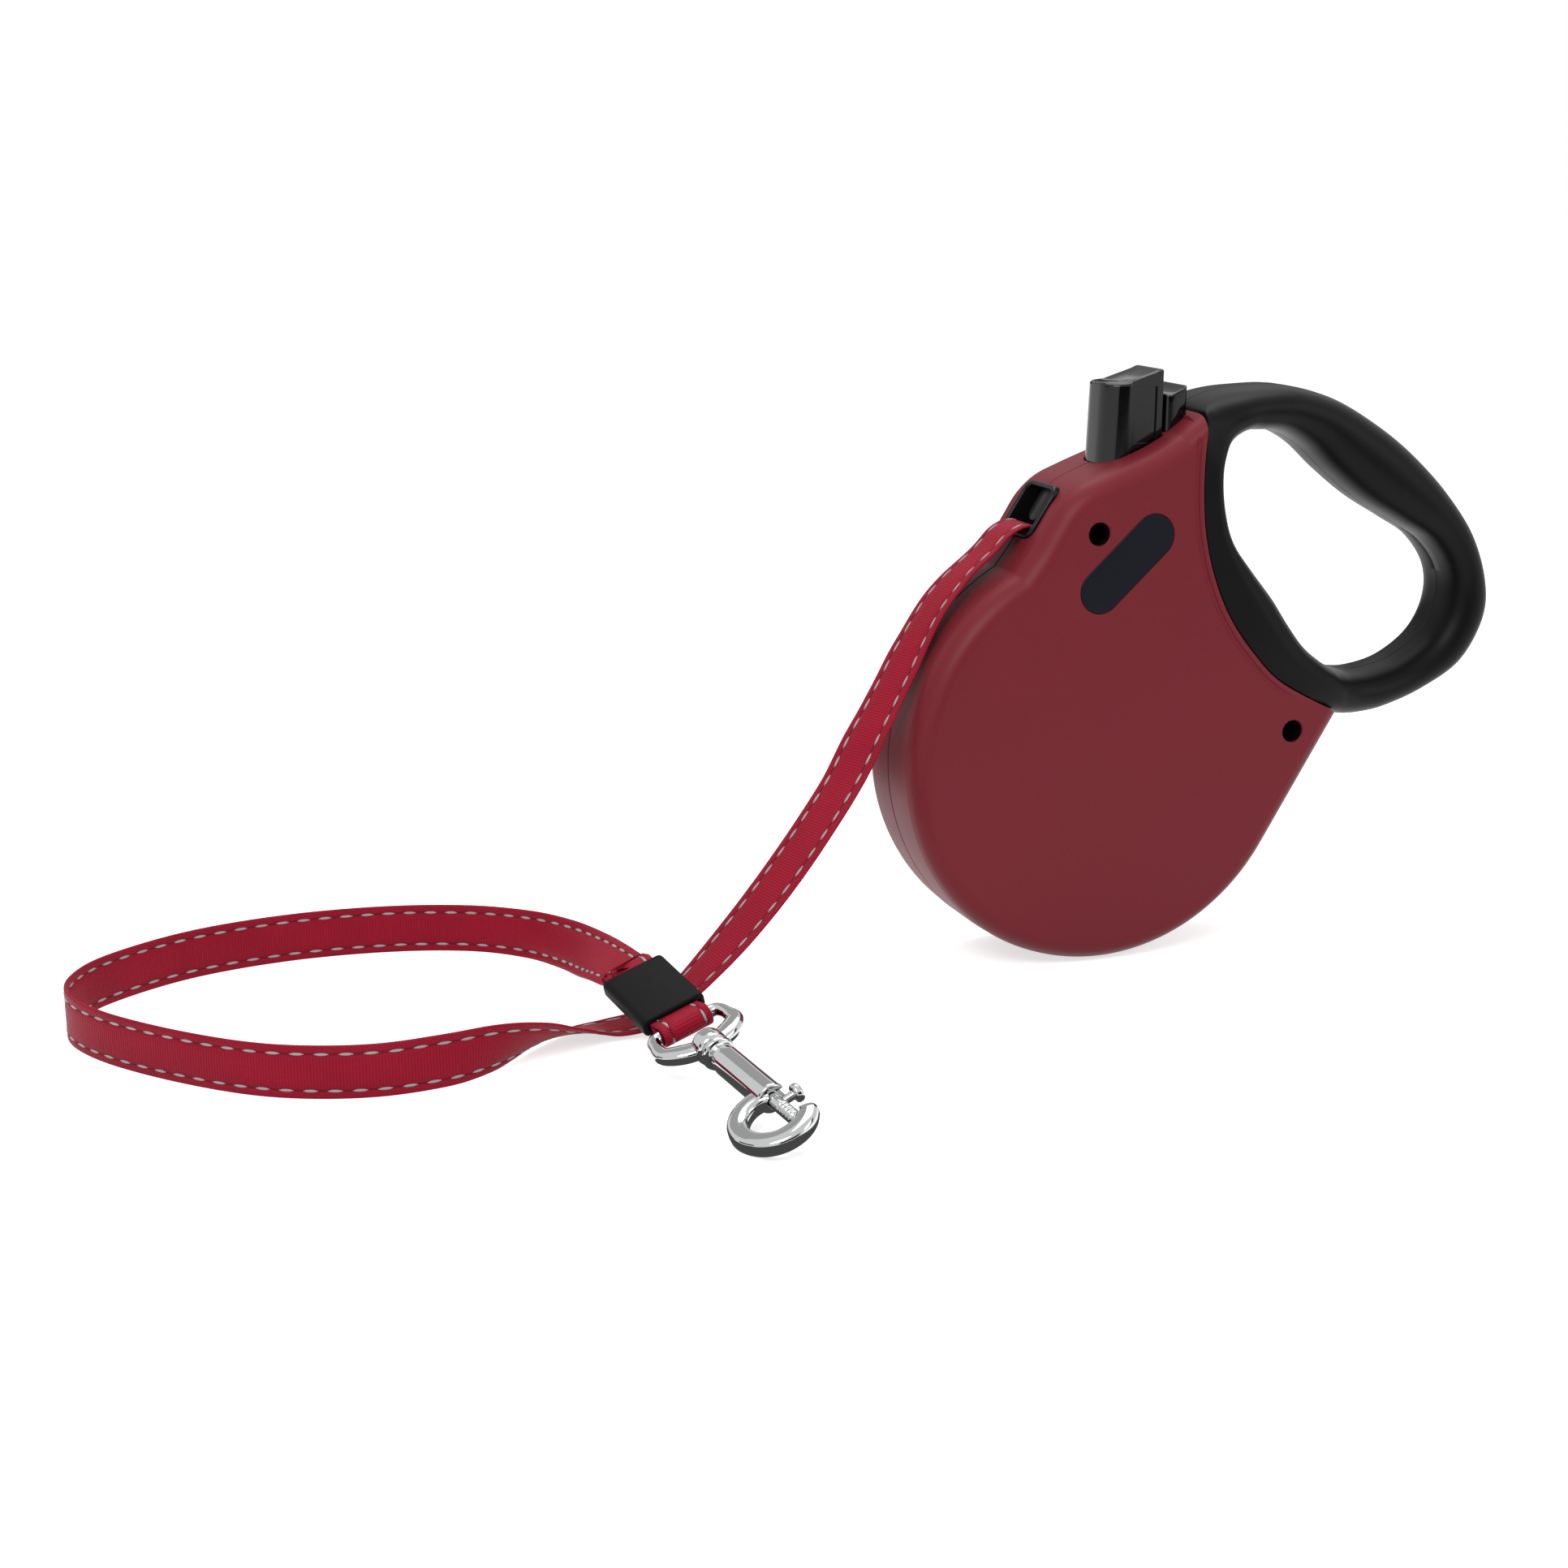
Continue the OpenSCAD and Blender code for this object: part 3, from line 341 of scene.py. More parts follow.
# ---------- materials
def material(name, colour, rough, grain, grain_scale=1500, metal=0.0, mottle=0.0,
             spec=0.5, rough_vary=0.06, scratch=0.0, sheen=0.0):
    """A moulded or metal surface: fine grain bump, mottled colour and gloss."""
    mat, k = new_material(name)
    bsdf = k.add("ShaderNodeBsdfPrincipled", Metallic=metal,
                 **{"Specular IOR Level": spec, "Sheen Weight": sheen})
    where = k.add("ShaderNodeTexCoord").outputs["Object"]
    broad, fine = k.noise(where, 28.0, 3.0), k.noise(where, grain_scale, 2.0)
    lift = k.math("MULTIPLY_ADD", broad, 2 * mottle, 1 - mottle)
    speck = k.math("MULTIPLY_ADD", fine, mottle, 1 - mottle / 2)
    shade = k.add("ShaderNodeVectorMath", operation="SCALE")
    shade.inputs[0].default_value = colour
    k.join(k.math("MULTIPLY", lift, speck), shade.inputs["Scale"])
    k.join(shade.outputs[0], bsdf.inputs["Base Color"])
    gloss = k.math("MULTIPLY_ADD", broad, 2 * rough_vary, rough - rough_vary)
    if scratch:
        lines = k.ramp(k.noise(where, 260.0, 4.0, 0.7), [(0.55, 0.0), (0.75, 1.0)])
        gloss = k.math("ADD", gloss, k.math("MULTIPLY", lines, scratch))
    k.join(k.math("MAXIMUM", gloss, 0.02), bsdf.inputs["Roughness"])
    k.bump(fine, 1.0, grain, bsdf)
    k.end(bsdf)
    return mat


RED = material("casing_red", (0.160, 0.0142, 0.0220), 0.42, grain=0.03, grain_scale=2600,
               mottle=0.05, spec=0.16)
GRIP = material("grip_black", (0.0038, 0.0039, 0.0046), 0.40, grain=0.02, grain_scale=3200,
                mottle=0.12, spec=0.10)
TRIM = material("trim_black", (0.004, 0.004, 0.0045), 0.30, grain=0.02, grain_scale=2600,
                mottle=0.1, spec=0.2)
LABEL = material("label_black", (0.0075, 0.0085, 0.013), 0.32, grain=0.003, grain_scale=900,
                 mottle=0.1, spec=0.12)
GLOSS = material("button_black", (0.002, 0.002, 0.0023), 0.10, grain=0.003, grain_scale=600,
                 mottle=0.15, spec=0.42, rough_vary=0.03, scratch=0.04)
RUBBER = material("keeper_rubber", (0.0052, 0.0050, 0.0054), 0.5, grain=0.04,
                  grain_scale=2400, mottle=0.12, spec=0.08)
CHROME = material("chrome", (0.55, 0.555, 0.56), 0.06, metal=1.0, grain=0.006,
                  grain_scale=240, mottle=0.02, rough_vary=0.02, scratch=0.05)
STEEL = material("steel", (0.56, 0.56, 0.58), 0.26, metal=1.0, grain=0.01,
                 grain_scale=1800, mottle=0.05)
NYLON = material("nylon", (0.60, 0.60, 0.57), 0.45, grain=0.02, grain_scale=1500,
                 mottle=0.03)
STITCH = material("stitch_grey", (0.30, 0.30, 0.31), 0.36, grain=0.05, grain_scale=5200,
                  mottle=0.2, sheen=0.2)


# the webbing's width and thickness in mm, as in the source
TAPE_W, TAPE_T = 15.0, 1.0
ROW_AT = 5.15             # a row of stitches, from the tape's middle
RIB, YARN, TWILL, SLANT = 0.85, 0.55, 0.9, 5.0     # the weave's periods and its slant


def webbing():
    """Crimson tape: cross ribs between two stitch rows, twilled selvedges.
    UV: x across the tape in mm from its middle, y along it in mm."""
    mat, k = new_material("webbing")
    bsdf = k.add("ShaderNodeBsdfPrincipled", Roughness=0.5, **{
        "Sheen Weight": 0.03, "Sheen Roughness": 0.4, "Specular IOR Level": 0.10})
    uv = k.add("ShaderNodeSeparateXYZ")
    k.join(k.add("ShaderNodeUVMap", uv_map="tape").outputs[0], uv.inputs[0])
    across, along = uv.outputs[0], uv.outputs[1]

    def times(a, b):
        return k.math("MULTIPLY", a, b)

    def wave(phase):
        return k.math("MULTIPLY_ADD", k.math("SINE", phase), 0.5, 0.5)

    ribs = wave(times(along, 2 * math.pi / RIB))
    yarns = wave(times(across, 2 * math.pi / YARN))
    off = k.math("ABSOLUTE", across)
    twill = wave(k.math("ADD", times(along, 2 * math.pi / TWILL), times(off, SLANT)))
    middle = k.ramp(k.math("DIVIDE", off, TAPE_W / 2), [(0.52, 1.0), (0.60, 0.0)])
    ribbed = k.math("MULTIPLY_ADD", yarns, 0.25, times(ribs, 0.75))
    weave = k.math("ADD", times(middle, ribbed),
                   times(k.math("SUBTRACT", 1.0, middle), twill))
    groove = k.ramp(k.math("ABSOLUTE", k.math("SUBTRACT", off, ROW_AT)),
                    [(0.0, 1.0), (0.16, 0.85), (0.42, 0.0)])
    where = k.add("ShaderNodeTexCoord").outputs["Object"]
    fuzz, broad = k.noise(where, 1400.0, 3.0), k.noise(where, 60.0, 2.0)
    height = k.math("SUBTRACT", k.math("ADD", weave, times(fuzz, 0.5)), times(groove, 1.3))
    tone = k.math("ADD", times(weave, 0.42), times(broad, 0.3))
    colour = k.mix(k.math("ADD", tone, times(fuzz, 0.3), clamp=True),
                   (0.140, 0.0020, 0.0095), (0.40, 0.0088, 0.032))
    # painted shade: the colour darkens in the grooves along the stitch rows
    colour = k.mix(times(groove, 0.75), colour, (0.09, 0.004, 0.012))
    k.join(colour, bsdf.inputs["Base Color"])
    k.bump(height, 0.9, 0.11, bsdf)
    k.end(bsdf)
    return mat


WEBBING = webbing()


def dress(o, mat):
    o.data.materials.clear()
    o.data.materials.append(mat)
    return o


def place(o, mat, body, slot, *nodes):
    """Gives a new piece its material and body, and hides the nodes it stands for; slot is not
    used.
    """
    dress(o, mat)
    if nodes:
        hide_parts(*nodes)
    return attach(o, body)


# ---------- free tape
SNAP_AT = np.array([-152.3, -43.8, 16.6])
SNAP = turn("z", 192) @ turn("x", -11) @ turn("y", 18)
KEEPER_HALF = 12.0
LAYER_Z = TAPE_T / 2 + 0.1


def snap_point(x, y, z):
    """A place near the snap, whose y runs from the keeper to the hook's ring."""
    return SNAP_AT + SNAP @ np.array([x, y, z])


# x, y, z and lean, in degrees, from the outlet to the keeper
route = [
    (-16.4, 0, 130.2, -90), (-20, 0, 132.7, -90), (-24.2, 0, 134.5, -90),
    (-29.8, 0, 132.2, -90), (-35, 0, 127, -90), (-43.5, 0, 119.8, -90),
    (-51.5, -1, 111.6, -90), (-58.5, -2.4, 101.4, -90), (-64.8, -4.4, 91.6, -91),
    (-70.6, -6.4, 82.8, -92), (-76.2, -8.6, 75, -93), (-84.4, -12.4, 63.4, -94),
    (-96, -17, 50.4, -96), (-107.6, -21, 38.4, -98), (-118.6, -24, 27.8, -98),
    (-129.4, -26, 18, -96), (-139.6, -26.6, 9.2, -93), (-149, -26, 3, -91),
    (-159, -26, 1.5, -88), (-168, -28.6, 2.6, -80), (-178, -34.6, 4.8, -62),
    (-188, -41.4, 7, -36), (-199, -47, 8, -12), (-212, -50.4, 7.9, 0),
    (-230, -51, 7.8, 0), (-248, -46, 7.8, 0), (-264, -36.6, 7.8, 0),
    (-282, -19.4, 7.8, 0), (-297, 0, 7.8, 0), (-304, 17, 7.8, 0), (-302, 32, 7.8, 0),
    (-291, 46.4, 7.8, 0), (-266, 60.6, 7.8, 0), (-236, 66.4, 7.8, 0),
    (-206, 64.4, 7.8, 0), (-182, 56, 8, 0), (-167, 42, 8.8, -6), (-159.6, 24, 10.6, -20),
    (-157, 4, 13.4, -38), (-156.6, -14, 16.6, -56), (-155.6, -28, 18.4, -68)]
route += [(*snap_point(0, -KEEPER_HALF - 5, LAYER_Z), -72),
          (*snap_point(0, -KEEPER_HALF + 1, LAYER_Z), -72)]


def along_route(points, spacing):
    """Points at equal steps along a spline through (x, y, z, lean)."""
    line = catmull(points, 24)
    s = run_length(line[:, :3])
    at = np.linspace(0, s[-1], int(s[-1] / spacing) + 1)
    return np.stack([np.interp(at, s, line[:, c]) for c in range(4)], 1), at


def leaning_lay(points, spacing):
    """Centre, across, face and run length of tape that leans as its route says."""
    line, along = along_route(points, spacing)
    run = unit(np.gradient(line[:, :3], axis=0))
    side = unit(np.cross(run, [0, 0, 1]))
    up = np.cross(side, run)
    lean = np.radians(line[:, 3:4])
    across = up * np.cos(lean) + side * np.sin(lean)
    return line[:, :3] + SHIFT, across, np.cross(run, across), along


def straight_lay(points, across):
    """The same four for tape whose width always points the same way."""
    run = unit(np.gradient(points, axis=0))
    wide = np.tile(across, (len(points), 1))
    return points, wide, np.cross(run, wide), run_length(points)


def tape_mesh(name, lay):
    """A webbing strip with rounded selvedges and a UV map in millimetres."""
    edge = [(1, 0.3), (0.97, 0.85), (0.90, 1.0), (0.70, 1.0), (0.685, 0.8), (0.67, 1.0),
            (0.3, 1.04), (0, 1.05)]
    upper = [(-u, v) for u, v in edge] + edge[-2::-1]
    lower = [(-u, -v) for u, v in upper]
    profile = lower[-1:] + upper + lower[:-1]
    centre, across, face, along = lay
    rings = [[c + TAPE_W / 2 * u * a + TAPE_T / 2 * 0.94 * v * f for u, v in profile]
             for c, a, f in zip(centre, across, face)]
    o = loft(name, rings)
    n = len(profile)
    layer = o.data.uv_layers.new(name="tape")
    for loop in o.data.loops:
        i = loop.vertex_index
        layer.data[loop.index].uv = (profile[i % n][0] * TAPE_W / 2, along[i // n])
    return o


def stitch_rows(name, lay, start=0.0, sides=(1, -1)):
    """Lozenge stitches standing a little proud of the tape, in two rows."""
    pitch, dash, steps = 6.5, 3.9, 5
    half = 0.95 / 2 * np.array([0.25, 0.9, 1.0, 0.9, 0.25])
    high = 0.1 * np.array([0.0, 0.8, 1.0, 0.8, 0.0])
    verts, faces = [], []
    centre, across, face, along = lay
    for row in (-ROW_AT, ROW_AT):
        s = start + (pitch / 2 if row > 0 else 0)
        while s + dash < along[-1]:
            at = np.linspace(s, s + dash, steps)
            c, a, f = (np.stack([np.interp(at, along, v[:, i]) for i in range(3)], 1)
                       for v in (centre, across, face))
            for side in sides:
                base = len(verts)
                for i in range(steps):
                    lower = c[i] + row * a[i] + side * (TAPE_T * 0.42) * f[i]
                    top = side * (TAPE_T * 0.09 + high[i]) * f[i]
                    verts += [lower - half[i] * a[i], lower - 0.45 * half[i] * a[i] + top,
                              lower + 0.45 * half[i] * a[i] + top, lower + half[i] * a[i]]
                for b in range(base, base + 4 * (steps - 1), 4):
                    for j in range(4):
                        faces.append((b + j, b + (j + 1) % 4, b + 4 + (j + 1) % 4, b + 4 + j))
                last = base + 4 * (steps - 1)
                faces += [(base + 3, base + 2, base + 1, base),
                          (last, last + 1, last + 2, last + 3)]
            s += pitch
    return new_object(name, verts, faces)


tape_lay = leaning_lay(route, 1.2)
tape = tape_mesh("webbing_tape", tape_lay)
place(tape, WEBBING, "casing", "tape_red", "leash_tape")
rows = stitch_rows("tape_stitches", tape_lay)
place(rows, STITCH, "casing", "tape_red")

# ---------- tape inside the casing
HUB_R, HUB_GAP, TURNS, TURN_PITCH = 28.0, 0.4, 14, 1.45
WOUND_R = HUB_R + HUB_GAP + TAPE_T / 2
LEAD_FROM, LEAD_TO = (23.03, 0, 109.94), (-15.9, 0, 129.9)


def wound_turns():
    """The spiral of tape on the spool."""
    a = np.linspace(0, 2 * math.pi * TURNS, TURNS * 48 + 1)
    r = WOUND_R + TURN_PITCH * a / (2 * math.pi)
    return np.stack([r * np.cos(a) + SPOOL_X, 0 * a, r * np.sin(a) + RIM_R], 1)


lead = np.linspace(LEAD_FROM + SHIFT, LEAD_TO + SHIFT, 12)
for name, points, body, node in (("wound_webbing", wound_turns(), "spool", "wound_tape"),
                                 ("lead_webbing", lead, "casing", "tape_lead")):
    strip = tape_mesh(name, straight_lay(points, (0.0, 1.0, 0.0)))
    place(strip, WEBBING, body, "tape_red", node)

# ---------- casing's border
HALF_T = 20.0
TOP_CORNER, LOW_CORNER = (28, 166.5), (80, 71.5)
BORDER = np.array([TOP_CORNER, (27, 155), (27, 143), (28.3, 131), (31.7, 118.5), (37.5, 106),
                   (46, 94.5), (57.5, 83.5), LOW_CORNER], float)
BORDER_LINE = catmull(BORDER, 16)


def border_at(b):
    """A point along the border, counted in half spans, moved towards the handle."""
    gap = 0.2
    at = min(max(b * 8, 0), len(BORDER_LINE) - 1)
    i = min(int(at), len(BORDER_LINE) - 2)
    p = BORDER_LINE[i] + (at - i) * (BORDER_LINE[i + 1] - BORDER_LINE[i])
    t = unit(BORDER_LINE[min(i + 4, len(BORDER_LINE) - 1)] - BORDER_LINE[max(i - 4, 0)])
    return p - gap * np.array([t[1], -t[0]])


# ---------- casing shells
def cut(o, *cutters):
    """Takes closed cutters out of a piece and removes them."""
    return boolean(o, cutters, "DIFFERENCE")


def joined(o, *others):
    """Fuses overlapping closed pieces into one surface."""
    return boolean(o, others, "UNION")


def boolean(o, others, how):
    for c in others:
        mod = o.modifiers.new("cut", "BOOLEAN")
        mod.operation = how
        mod.solver = "EXACT"
        mod.object = c
    apply_modifiers(o)
    for c in others:
        bpy.data.objects.remove(c)
    return o


def apply_modifiers(o):
    bpy.context.view_layer.update()
    done = bpy.data.meshes.new_from_object(
        o.evaluated_get(bpy.context.evaluated_depsgraph_get()))
    o.modifiers.clear()
    old, o.data = o.data, done
    bpy.data.meshes.remove(old)
    return o


def flat_faced(o, degrees):
    """Smooths a piece but keeps its large flat faces flat."""
    smoothed(o, degrees)
    mod = o.modifiers.new("weigh", "WEIGHTED_NORMAL")
    mod.weight = 90
    mod.keep_sharp = True
    return o


def softened(o, width=0.25, degrees=50):
    """A narrow bevel along the sharp edges of a piece."""
    mod = o.modifiers.new("bevel", "BEVEL")
    mod.width, mod.segments = width * MM, 2
    mod.limit_method, mod.angle_limit = "ANGLE", math.radians(degrees)
    return o


def box_at(name, low, high, round_to=0.0):
    o = new_object(name, [(x, y, z) for x in (low[0], high[0]) for y in (low[1], high[1])
                          for z in (low[2], high[2])],
                   [(0, 1, 3, 2), (4, 6, 7, 5), (0, 4, 5, 1), (2, 3, 7, 6), (0, 2, 6, 4),
                    (1, 5, 7, 3)])
    if round_to:
        mod = o.modifiers.new("round", "BEVEL")
        mod.width, mod.segments = round_to * MM, 3
        apply_modifiers(o)
    return o


def across_casing(name, x, z, profile):
    """Turns (y, radius) pairs round a line across the casing."""
    return loft(name, [[(x + SPOOL_X + r * math.cos(a), y, z + r * math.sin(a))
                        for a in circle(48)] for y, r in profile])


def prism(name, outline, low, high, at=lambda x, y, z: (x + SPOOL_X, y, z)):
    """An upright block with this plan."""
    return loft(name, [[at(x, y, z) for x, y in outline] for z in (low, high)])


WALL, SHOULDER, BAND = 2.4, 6.0, 13.0
SPOOL = np.array([0, RIM_R])
reach = LOW_CORNER - SPOOL
TANGENT = math.atan2(reach[1], reach[0]) - math.acos(RIM_R / np.linalg.norm(reach))
NECK_START = math.radians(119 - 360)
ROUND = np.array([SPOOL + RIM_R * np.array([math.cos(a), math.sin(a)])
                  for a in np.linspace(TANGENT, NECK_START, 175)])
NECK = catmull([ROUND[-1], (-26.5, 128.5), (-22.5, 135), (-18, 141.8), (-12, 147), (-4, 150.5),
                (6, 154.2), (13, 157), (20.6, 161)], 10)
FREE_EDGE = np.concatenate([ROUND, NECK[1:]])
FREE_IN = np.gradient(FREE_EDGE, axis=0)
FREE_IN = unit(np.stack([FREE_IN[:, 1], -FREE_IN[:, 0]], 1))
BORDER_RUN = run_length(BORDER_LINE)


def casing_outline(inset):
    """The casing's outline, its free edge moved in and its border shortened."""
    free = FREE_EDGE + inset * FREE_IN
    at = np.linspace(inset, BORDER_RUN[-1] - inset, 90)
    edge = np.stack([np.interp(at, BORDER_RUN, BORDER_LINE[:, c]) for c in (0, 1)], 1)
    top = [free[-1] + t * (edge[0] - free[-1]) for t in (0.25, 0.5, 0.75)]
    low = [edge[-1] + t * (free[0] - edge[-1]) for t in np.arange(1, 12) / 12]
    return np.concatenate([free, top, edge, low])


def casing_ring(inset, thick, y):
    """The outline at y, inset and then moved in by a wall's thickness."""
    p = casing_outline(inset)
    run = unit(np.roll(p, -1, 0) - p)
    after = np.stack([run[:, 1], -run[:, 0]], 1)
    before = np.roll(after, 1, 0)
    p = p + thick * (before + after) / (1 + (before * after).sum(1, keepdims=True))
    return [(x + SPOOL_X, y, z) for x, z in p]


# inset and distance from the parting plane, from the rim band over the shoulder
PROFILE = catmull([(0.25, BAND), (0.8, 15.45), (1.7, 17.2), (2.9, 18.6), (4.3, 19.51),
                   (SHOULDER, HALF_T)], 5)
MOUTH_AT = np.array([-20.3, 0, 138.4])
MOUTH = turn("y", -57)
MOUTH_W, MOUTH_H, MOUTH_WALL, MOUTH_R, MOUTH_BACK = 20.0, 18.0, 1.8, 4.0, -8
BUTTON_X, BUTTON_L, BUTTON_W, BUTTON_Z = -0.8, 19.4, 18.0, 176.3
BUTTON_MID = BUTTON_X + BUTTON_L / 2
LOCK_X, LOCK_L, LOCK_W = BUTTON_X + BUTTON_L + 0.9, 7.0, 17.0
SLOT_END, SLOT_HALF, PART_GAP, TOP_CUT = 24.3, 4.3, 0.3, (140, 190)
SCREWS, SCREW_R = ((-7, 133), (62, 68)), 1.8
RECESS_R, RECESS_D = 3.4, 13.0
BOSS_R, SEAT_R, SEAT_Y, AXLE_HOLE_R, AXLE_HOLE_Y = 5.2, 8, 10.5, 4.05, 17.4
SHELF_X, SHELF_Z = (-2.5, 5.1), (129.5, 131.7)
LABEL_ENDS, LABEL_R = ((-6, 116), (10.9, 131.5)), 6.6


def at_mouth(x, y, z):
    return MOUTH_AT + MOUTH @ np.array([x, y, z]) + SHIFT


def outline_points(w, h, radii, steps=8):
    """A rectangle centred on the origin with its own radius at each corner,
    from (+x, +y) round through (-x, +y), (-x, -y) and (+x, -y)."""
    out = []
    for k, (sx, sy, r) in enumerate(zip((1, -1, -1, 1), (1, 1, -1, -1), radii)):
        cx, cy = sx * (w / 2 - r), sy * (h / 2 - r)
        for a in np.radians(np.linspace(90 * k, 90 * k + 90, steps)):
            out.append((cx + r * math.cos(a), cy + r * math.sin(a)))
    return np.array(out)


def label_block(name, steps):
    """The label's capsule at each step's y, grown by the step's second value."""
    a, b = LABEL_ENDS
    lean = math.atan2(b[1] - a[1], b[0] - a[0])
    round_b = np.radians(np.linspace(-90, 90, 33)) + lean
    around = [(b, t) for t in round_b] + [(a, t + math.pi) for t in round_b]
    return loft(name, [[(c[0] + (LABEL_R + grow) * math.cos(t) + SPOOL_X, y,
                         c[1] + (LABEL_R + grow) * math.sin(t))
                        for c, t in around] for y, grow in steps])


def shell(name, side):
    """One half of the casing; side is -1 at the front and 1 at the rear."""
    floor, seam = HALF_T - WALL, 0.1
    o = loft(name, [casing_ring(inset, thick, side * y) for inset, thick, y in (
        (3.6, WALL, floor), (1.2, WALL, floor - 3), (0, WALL, 11), (0.2, WALL, 0.02),
        (0.3, 0, 0.02), (0, 0, 0.4), (0, 0, 7), *((i, 0, y) for i, y in PROFILE))])
    root = side * (floor + 0.5)
    inner = [across_casing("boss", x, z, [(side * end, BOSS_R), (root, BOSS_R)])
             for (x, z), end in zip(SCREWS, (seam, 4.3 if side < 0 else seam))]
    inner.append(across_casing("seat", 0, RIM_R, [(side * SEAT_Y, SEAT_R), (root, SEAT_R)]))
    y0, y1 = sorted((side * seam, root))
    inner.append(box_at("shelf", (SHELF_X[0] + SPOOL_X, y0, SHELF_Z[0]),
                        (SHELF_X[1] + SPOOL_X, y1, SHELF_Z[1])))
    joined(o, *inner)
    plan = outline_points(BUTTON_L + 2 * PART_GAP, BUTTON_W + 2 * PART_GAP, (0.6, 7.3, 7.3, 0.6))
    mouth = outline_points(MOUTH_H + PART_GAP, MOUTH_W + PART_GAP, [MOUTH_R + 0.1] * 4)
    cutters = [prism("opening", plan + [BUTTON_MID, 0], *TOP_CUT),
               box_at("slot", (BUTTON_X + BUTTON_L + SPOOL_X, -SLOT_HALF, TOP_CUT[0]),
                      (SLOT_END + SPOOL_X, SLOT_HALF, TOP_CUT[1])),
               prism("mouth", mouth, MOUTH_BACK - PART_GAP, 12, at_mouth),
               across_casing("axle", 0, RIM_R, [(side * 0.5, AXLE_HOLE_R),
                                                (side * AXLE_HOLE_Y, AXLE_HOLE_R)])]
    if side < 0:
        for x, z in SCREWS:
            cutters.append(across_casing("recess", x, z, [(y - HALF_T, RECESS_R + r) for y, r in (
                (-1, 1.55), (0, 0.55), (0.2, 0.25), (0.6, 0), (RECESS_D, 0))]))
            cutters.append(across_casing("screw", x, z, [(RECESS_D - 1 - HALF_T, SCREW_R),
                                                         (1, SCREW_R)]))
        cutters.append(label_block("label", ((-HALF_T - 0.2, 0.35), (-HALF_T + 0.15, 0.15),
                                             (-HALF_T + 0.8, 0.15))))
    return cut(o, *cutters)


HALVES = ((-1, "front"), (1, "rear"))
for side, word in HALVES:
    o = shell(f"casing_{word}_shell", side)
    place(flat_faced(softened(o), 34), RED, "casing", "casing_red", f"{word}_casing")


def paint_recess_shade(o):
    """Paints shade onto the walls of the screw recesses, below their first half mm: a near-black
    colour that stands in for the shade inside them.
    """
    o.data.materials.append(material("recess_painted_shade", (0.003, 0.0022, 0.0024), 0.6, grain=0.02,
                                     spec=0.05))
    for poly in o.data.polygons:
        x, y, z = poly.center / MM
        if 0.5 - HALF_T < y < -1 and any(math.hypot(x - SPOOL_X - sx, z - sz) < RECESS_R + 0.1
                                         for sx, sz in SCREWS):
            poly.material_index = 1


# painted shade: a near-black colour inside the front shell's screw recesses
paint_recess_shade(bpy.data.objects["casing_front_shell"])
label = label_block("label_face", ((-HALF_T + 0.7, 0), (-HALF_T + 0.12, 0), (-HALF_T, -0.12),
                                   (-HALF_T - 0.02, -0.5)))
place(smoothed(label, 30), LABEL, "casing", "trim_black", "label_plate")

# ---------- handle
LEG, PALM, FINGER, REACH = HALF_T - 0.4, 15.0, 12.5, 138.3
# inner x, z, outer x, z, half thickness, roundness of the outer edge, place on the border
STATIONS = [
    (50, 159.8, 50, 172.8, 16.5, 1, None), (60, 158.8, 63, 172.6, 15.6, 1, None),
    (70, 153.8, 78, 168.6, PALM, 1, None), (80, 145.2, 92, 161.4, PALM, 1, None),
    (92, 136.2, 106, 151.8, PALM, 1, None), (105, 128.8, 120, 139, PALM - 0.5, 1, None),
    (116, 122.2, 132, 124, FINGER + 0.8, 1, None),
    (123.6, 112.6, REACH, 108, FINGER, 1, None), (124.6, 102, 138, 95.5, FINGER, 1, None),
    (119.6, 92, 130, 82.2, FINGER, 1, None), (109, 84.6, 116, 74.2, FINGER, 1, None),
    (98, 81.8, 102, 69.8, FINGER + 1, 1, None), (89.6, 82, 92.4, 68.6, FINGER + 2, 1, None),
    (84, 83.6, 85, 69.2, FINGER + 3.4, 0.8, None), (80, 85.6, 0, 0, LEG - 2.4, 0.3, 16),
    (76, 88, 0, 0, LEG - 1.2, 0, 15), (69.6, 93.2, 0, 0, LEG - 0.4, 0, 14),
    (63.6, 100.6, 0, 0, LEG, 0, 12), (57.6, 109, 0, 0, LEG, 0, 10),
    (49.6, 118, 0, 0, LEG, 0, 8), (42, 127, 0, 0, LEG, 0, 6), (38.2, 137, 0, 0, LEG, 0, 4),
    (37, 146.6, 0, 0, LEG, 0, 2), (38.6, 153.4, 0, 0, LEG - 0.6, 0, 1),
    (40.6, 156.4, 0, 0, LEG - 1.2, 0.15, 0), (43.4, 158.4, 31.6, 169.2, LEG - 1.8, 0.5, None),
    (46.4, 159.6, 40, 171.8, 17.4, 0.9, None)]


def grip_sections(steps):
    """Sections round the handle: inner x, z, outer x, z, half thickness, roundness."""
    full = []
    for s in STATIONS:
        outer = s[2:4] if s[6] is None else tuple(border_at(s[6]))
        full.append((*s[:2], *outer, *s[4:6]))
    line = catmull(full, steps, closed=True)
    for i in range(len(line)):
        a, b = STATIONS[i // steps][6], STATIONS[(i // steps + 1) % len(STATIONS)][6]
        if a is not None and b is not None:
            line[i, 2:4] = border_at(a + (b - a) * (i % steps) / steps)
    return line


